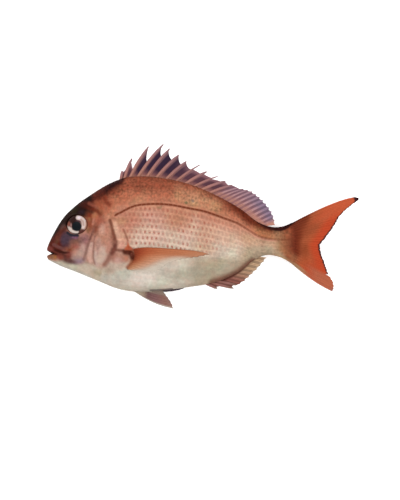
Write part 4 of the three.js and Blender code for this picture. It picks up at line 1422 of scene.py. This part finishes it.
EYE_MARKS = [
    ((0.1, 0.042, 0.045), (2.4, 3), (3, 2.6), 0.7),
    (IRIS_TAN, (5.6, -1.6), (3, 4), 0.6),
    # The pale iris ring round the upper rear, partly a painted highlight.
    (IRIS_RING_AND_HIGHLIGHT, [(1.2, 7), (3.7, 6.4), (6.4, 4.2), (7.4, 0.6), (6.8, -2.6)], 3, 1.4),
    # A painted highlight on the eye.
    ((0.9, 0.74, 0.8), (2.2, 7), (1.6, 1.2), 0.7),
    (IRIS_TAN, [(4.2, 5), (6.2, 2.8), (6.8, -0.4)], 0.8, 1.1, 0.7),
    ((0.42, 0.19, 0.12), [(9.4, 2.6), (9.5, -1), (8.4, -4)], 0.6, 1.1, 0.8),
    (IRIS_CREAM, [(-8.9, -2), (-8.2, -4.2), (-5.8, -6.1), (-2.6, -7), (0.4, -7)], 1.7, 1.3),
    (IRIS_CREAM, (-6.6, -4.4), (1.7, 1.8), 0.6, -30),
    ((0.26, 0.075, 0.05), (-8.2, 0.4), (1.5, 2.6), 0.6, -15),
    ((0.36, 0.19, 0.17), (-5.8, -0.8), (0.8, 2), 0.8),
    # Painted shade on the lower rear of the iris.
    ((0.11, 0.034, 0.026), (5, -7), (3.2, 2), 0.6, 35),
]


def eye_colour(dx, dy):
    """The iris and pupil, with a painted highlight and painted shade on them, dx and dy in millimetres from
    the eye's middle, dx backwards and dy up.
    """
    r = np.hypot(dx / IRIS_HALF_SIZES[0], dy / IRIS_HALF_SIZES[1])
    paint = Paint(dx, dy, IRIS_DARK)
    paint.marks(EYE_MARKS)
    paint.patch(chosen_colour("pupil"), (0, -1.7), (4.9, 4.9), 0.16)
    rim = mix(np.array((0.028, 0.01, 0.009)), np.array((0.26, 0.1, 0.062)), blend_in(dx, 2, 7)[:, None])
    paint.lay(rim, blend_in(r, 0.95, 1.02))
    return paint.colour


class BREAM_OT_eyes(bpy.types.Operator):
    """Both eyes: a domed ball with its iris and pupil, standing a little proud of its socket"""
    bl_idname = "bream.eyes"
    bl_label = "Eyes"

    def execute(self, context):
        proud = context.scene.bream_sizes.eye_proud / MM
        for side, word in SIDES:
            x, y = EYE_CENTRE
            step = 0.5
            at = np.array([x, x + step, x - step, x, x])
            up = np.array([y, y, y, y + step, y - step])
            skin = skin_over(at, up, side)
            outward = np.cross(skin[1] - skin[2], skin[3] - skin[4])
            outward *= side / np.linalg.norm(outward)
            centre = skin[0] + outward * (proud - EYE_BALL_HALF_SIZES[2])
            turn = Vector((0, 0, 1)).rotation_difference(Vector(outward)).to_matrix()
            bm = bmesh.new()
            bmesh.ops.create_uvsphere(bm, **EYE_GRID, radius=1)
            co = np.array([vert.co[:] for vert in bm.verts])
            local = co * np.array(EYE_BALL_HALF_SIZES)
            cornea = np.clip(1 - (np.hypot(local[:, 0], local[:, 1]) / CORNEA_RADIUS) ** 2, 0, 1)
            local[:, 2] += CORNEA_HEIGHT * cornea * np.sign(local[:, 2])
            points = local @ np.array(turn).T + centre
            shown = points[:, :2] - np.array(EYE_CENTRE)
            eye = finished("eye_ball_" + word, bm, lay(points), eye_colour(shown[:, 0], shown[:, 1]))
            eye.data.materials.append(eye_material())
            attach(eye, "root")
            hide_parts("eye_" + word)
        return {"FINISHED"}


# Materials of the fish.

SKIN_GLOSS = {"Specular IOR Level": 0.02}
EYE_GLOSS = {"Specular IOR Level": 0.03}


def skin_rgba(colour):
    """A named colour for use inside a material, darker by the skin's share as the painted ones are."""
    return (*(SKIN_SHARE * value for value in colour), 1.0)


def skin_material():
    """Wet scaly skin: painted tones, a mark and an edge on each scale, and the lateral line."""
    shader = Shader("fish_skin")
    place = shader.place()
    paint = shader.painted()
    scaly = shader.mask("scaly")
    marks = shader.mask("marks")
    flecks = shader.mask("flecks")
    line_gap = shader.mask("line_gap")
    pattern = shader.node("ShaderNodeUVMap", {"uv_map": "pattern"})
    column = shader.node("ShaderNodeSeparateXYZ", None, {0: pattern})
    row = shader.node("ShaderNodeSeparateXYZ", None, {0: pattern}, output=1)
    nearest = (row + 0.5).floored()
    off = row - nearest
    across = (column + (nearest % 2.0) * 0.5 + off * off * EDGE_BULGE) % 1.0
    coarse = shader.noise(place, 90.0, 3.0)
    fine = shader.noise(place, 420.0, 2.0)
    redder = shader.noise(place, 210.0, 3.0)
    yellower = shader.noise(place, 60.0, 3.0)
    above = 1.0 - row.between(-1.6, -0.2)
    from_mark = ((across - 0.45) / 0.3) ** 2 + (off / 0.33) ** 2
    mark = 1.0 - from_mark.between(0.1, 1.5)
    uneven = fine.between(0.32, 0.6) * (coarse.between(0.36, 0.6) * 0.75 + 0.25)
    rim = (abs(across - 0.45) * 2.0).between(0.45, 1.0) + abs(off).between(0.25, 0.5) * 1.3
    small_rim = (abs((column * 1.5) % 1.0 - 0.5) * 2.0).between(0.2, 1.0) + abs(off).between(0.1, 0.5)
    low = row.between(6.5, 9.5)
    mesh = (rim - 0.6) * (1.0 - above) * (0.11 - low * 0.07) + (small_rim - 1.0) * above * 0.08
    mottle = (fine - 0.5) * (above * 0.9 + 0.9 - low * 0.4) + (coarse - 0.5) * 0.6
    tone = shader.tinted(paint, 1.0 + mottle + mesh * scaly)
    red = redder.between(0.42, 0.68)
    ochre = yellower.between(0.45, 0.7)
    flecked = shader.turned(tone, red * (flecks * 0.5 + 0.5), RED_LEAN)
    tanned = shader.turned(flecked, ochre * (flecks * 0.5 + 0.5), OCHRE_LEAN)
    mark_colour = skin_rgba(chosen_colour("scale_mark"))
    marked = shader.mixed(mark * marks * uneven * 0.9, tanned, mark_colour)
    line = 1.0 - line_gap.between(0.4, 1.7)
    dashes = 0.8 + across.between(0.1, 0.5) * 0.2
    line_strength = line * dashes * (1.0 - column.between(38.0, 54.0) * 0.65)
    lined = shader.mixed(line_strength, marked, skin_rgba(chosen_colour("lateral_line")))
    edge = across.between(0.0, 0.12) * (1.0 - across.between(0.9, 1.0))
    height = (edge * 0.5 + across * 0.4) * scaly + fine * 0.35
    roughness = fine * 0.16 + 0.45
    return shader.finish(lined, roughness, height, 0.0002, **SKIN_GLOSS)


def fin_material():
    """Fin skin and rays: painted tones with fine streaks along the rays."""
    name = "fin_skin"
    if name in bpy.data.materials:
        return bpy.data.materials[name]
    shader = Shader(name)
    place = shader.place()
    paint = shader.painted()
    pattern = shader.node("ShaderNodeUVMap", {"uv_map": "pattern"})
    streaks = shader.noise(pattern, 1.0, 3.0, (7.0, 1.6, 1.0))
    fine = shader.noise(place, 500.0, 2.0)
    tone = shader.tinted(paint, 1.0 + (streaks - 0.5) * 0.3 + (fine - 0.5) * 0.3)
    return shader.finish(tone, fine * 0.15 + 0.5, streaks * 0.5 + fine * 0.3, 0.00015, **SKIN_GLOSS)


def eye_material():
    """The smooth surface of an eye, with fine flecks in the iris."""
    shader = Shader("eye_gloss")
    place = shader.place()
    paint = shader.painted()
    fine = shader.noise(place, 600.0, 2.0)
    tone = shader.tinted(paint, 1.0 + (fine - 0.5) * 0.22)
    return shader.finish(tone, fine * 0.1 + 0.35, fine, 0.00003, **EYE_GLOSS)


# The stage: floor, light and camera.

VIEW_CENTRE = (-0.00303, -0.02393)
VIEW_HEIGHT = 0.5
CAMERA_DISTANCE = 2.5
SENSOR = 36.0
LAMP_SIZE = 0.9
# A lamp: its name, its place, and its power as a share of the main light's.
LAMPS = [
    ("key_light", (-0.5, 0.7, 1.1), 1.0), ("fill_light", (0.8, 0.1, 1.0), 0.6),
    ("low_light", (-0.1, -0.9, 0.9), 0.5),
]


def soft_light(name, place, power):
    """A square soft light that faces the fish."""
    data = bpy.data.lights.new(name, "AREA")
    data.shape = "SQUARE"
    data.size = LAMP_SIZE
    data.energy = power
    lamp = bpy.data.objects.new(name, data)
    aim = Vector(place).to_track_quat("Z", "Y").to_matrix().to_4x4()
    lamp.matrix_world = Matrix.Translation(place) @ aim
    bpy.context.scene.collection.objects.link(lamp)


class BREAM_OT_stage(bpy.types.Operator):
    """A plain pale floor, soft studio light and the camera straight above"""
    bl_idname = "bream.stage"
    bl_label = "Floor, Light and Camera"

    def execute(self, context):
        studio = context.scene.bream_studio
        bm = bmesh.new()
        bmesh.ops.create_grid(bm, x_segments=1, y_segments=1, size=studio.floor_size / 2)
        mesh = bpy.data.meshes.new("floor")
        bm.to_mesh(mesh)
        bm.free()
        floor = bpy.data.objects.new("floor", mesh)
        context.scene.collection.objects.link(floor)
        shader = Shader("pale_floor")
        place = shader.place()
        tone = shader.tinted(tuple(studio.floor_colour), 1.0 + (shader.noise(place, 40.0) - 0.5) * 0.01)
        glow = {"Specular IOR Level": 0.1, "Emission Color": (1, 1, 1, 1),
                "Emission Strength": studio.floor_glow}
        floor.data.materials.append(shader.finish(tone, 0.85, shader.noise(place, 300.0), 0.00002, **glow))

        world = bpy.data.worlds.new("soft_room")
        context.scene.world = world
        world.use_nodes = True
        background = world.node_tree.nodes["Background"]
        background.inputs["Color"].default_value = (1, 1, 1, 1)
        background.inputs["Strength"].default_value = studio.room_light
        for name, place, share in LAMPS:
            soft_light(name, place, studio.key_light * share)

        data = bpy.data.cameras.new("camera")
        data.sensor_width = SENSOR
        data.lens = SENSOR * CAMERA_DISTANCE / VIEW_HEIGHT
        data.clip_end = 20
        camera = bpy.data.objects.new("camera", data)
        camera.location = (*VIEW_CENTRE, CAMERA_DISTANCE + RESTING_HEIGHT * MM)
        context.scene.collection.objects.link(camera)
        context.scene.camera = camera
        context.scene.view_settings.view_transform = "Standard"
        return {"FINISHED"}


# The add-on's properties, panel and registration.


def colour_setting(name, description, colour):
    """A colour for a property group."""
    return bpy.props.FloatVectorProperty(
        name=name, description=description, default=colour, min=0, max=1, subtype="COLOR", size=3)


class BreamSizes(bpy.types.PropertyGroup):
    scale_relief: bpy.props.FloatProperty(
        name="Scale Relief", description="How far a scale's edge stands above the next scale",
        default=SCALE_RELIEF * MM, min=0, unit="LENGTH")
    eye_proud: bpy.props.FloatProperty(
        name="Eye Height", description="How far an eye's middle stands out of the skin around it",
        default=EYE_PROUD * MM, min=0, unit="LENGTH")


class BreamColours(bpy.types.PropertyGroup):
    back: colour_setting("Back", "Main tone of the back", BACK)
    flank: colour_setting("Flank", "Main tone of the flank under the lateral line", FLANK)
    belly: colour_setting("Belly", "Main tone of the belly", BELLY)
    scale_mark: colour_setting("Scale Marks", "Colour of the mark on each scale of the flank", SCALE_MARK)
    lateral_line: colour_setting("Lateral Line", "Colour of the line along the flank", LINE_BROWN)
    pupil: colour_setting("Pupil", "Colour of the pupils", PUPIL)


class BreamStudio(bpy.types.PropertyGroup):
    floor_size: bpy.props.FloatProperty(
        name="Floor Size", description="Side of the floor", default=6.0, min=1, unit="LENGTH")
    floor_colour: colour_setting("Floor Colour", "Colour of the floor", (0.94, 0.94, 0.94))
    floor_glow: bpy.props.FloatProperty(
        name="Floor Glow", description="Light of the floor's own, against a grey shadow", default=0.3, min=0)
    room_light: bpy.props.FloatProperty(
        name="Room Light", description="Strength of the even light from all round", default=0.9, min=0)
    key_light: bpy.props.FloatProperty(
        name="Key Light", description="Power of the main light", default=11.0, min=0, unit="POWER")


class BREAM_PT_panel(bpy.types.Panel):
    """Lists the bream's sizes and colours, the studio's settings and the operators that build it"""
    bl_idname = "BREAM_PT_panel"
    bl_label = "Raw Sea Bream"
    bl_space_type = "VIEW_3D"
    bl_region_type = "UI"
    bl_category = "Bream"

    def draw(self, context):
        for group, settings in SETTINGS.items():
            for key in settings.__annotations__:
                self.layout.prop(getattr(context.scene, group), key)
        for operator in OPERATORS:
            self.layout.operator(operator.bl_idname)


OPERATORS = (
    BREAM_OT_body, BREAM_OT_eyes, BREAM_OT_median_fins, BREAM_OT_tail, BREAM_OT_paired_fins, BREAM_OT_stage,
)
SETTINGS = {"bream_sizes": BreamSizes, "bream_colours": BreamColours, "bream_studio": BreamStudio}
CLASSES = (*SETTINGS.values(), *OPERATORS, BREAM_PT_panel)


def register():
    for cls in CLASSES:
        bpy.utils.register_class(cls)
    for group, settings in SETTINGS.items():
        setattr(bpy.types.Scene, group, bpy.props.PointerProperty(type=settings))


def unregister():
    for group in SETTINGS:
        delattr(bpy.types.Scene, group)
    for cls in reversed(CLASSES):
        bpy.utils.unregister_class(cls)


def main():
    register()
    for operator in OPERATORS:
        group, name = operator.bl_idname.split(".")
        getattr(getattr(bpy.ops, group), name)()


if __name__ == "__main__":
    main()
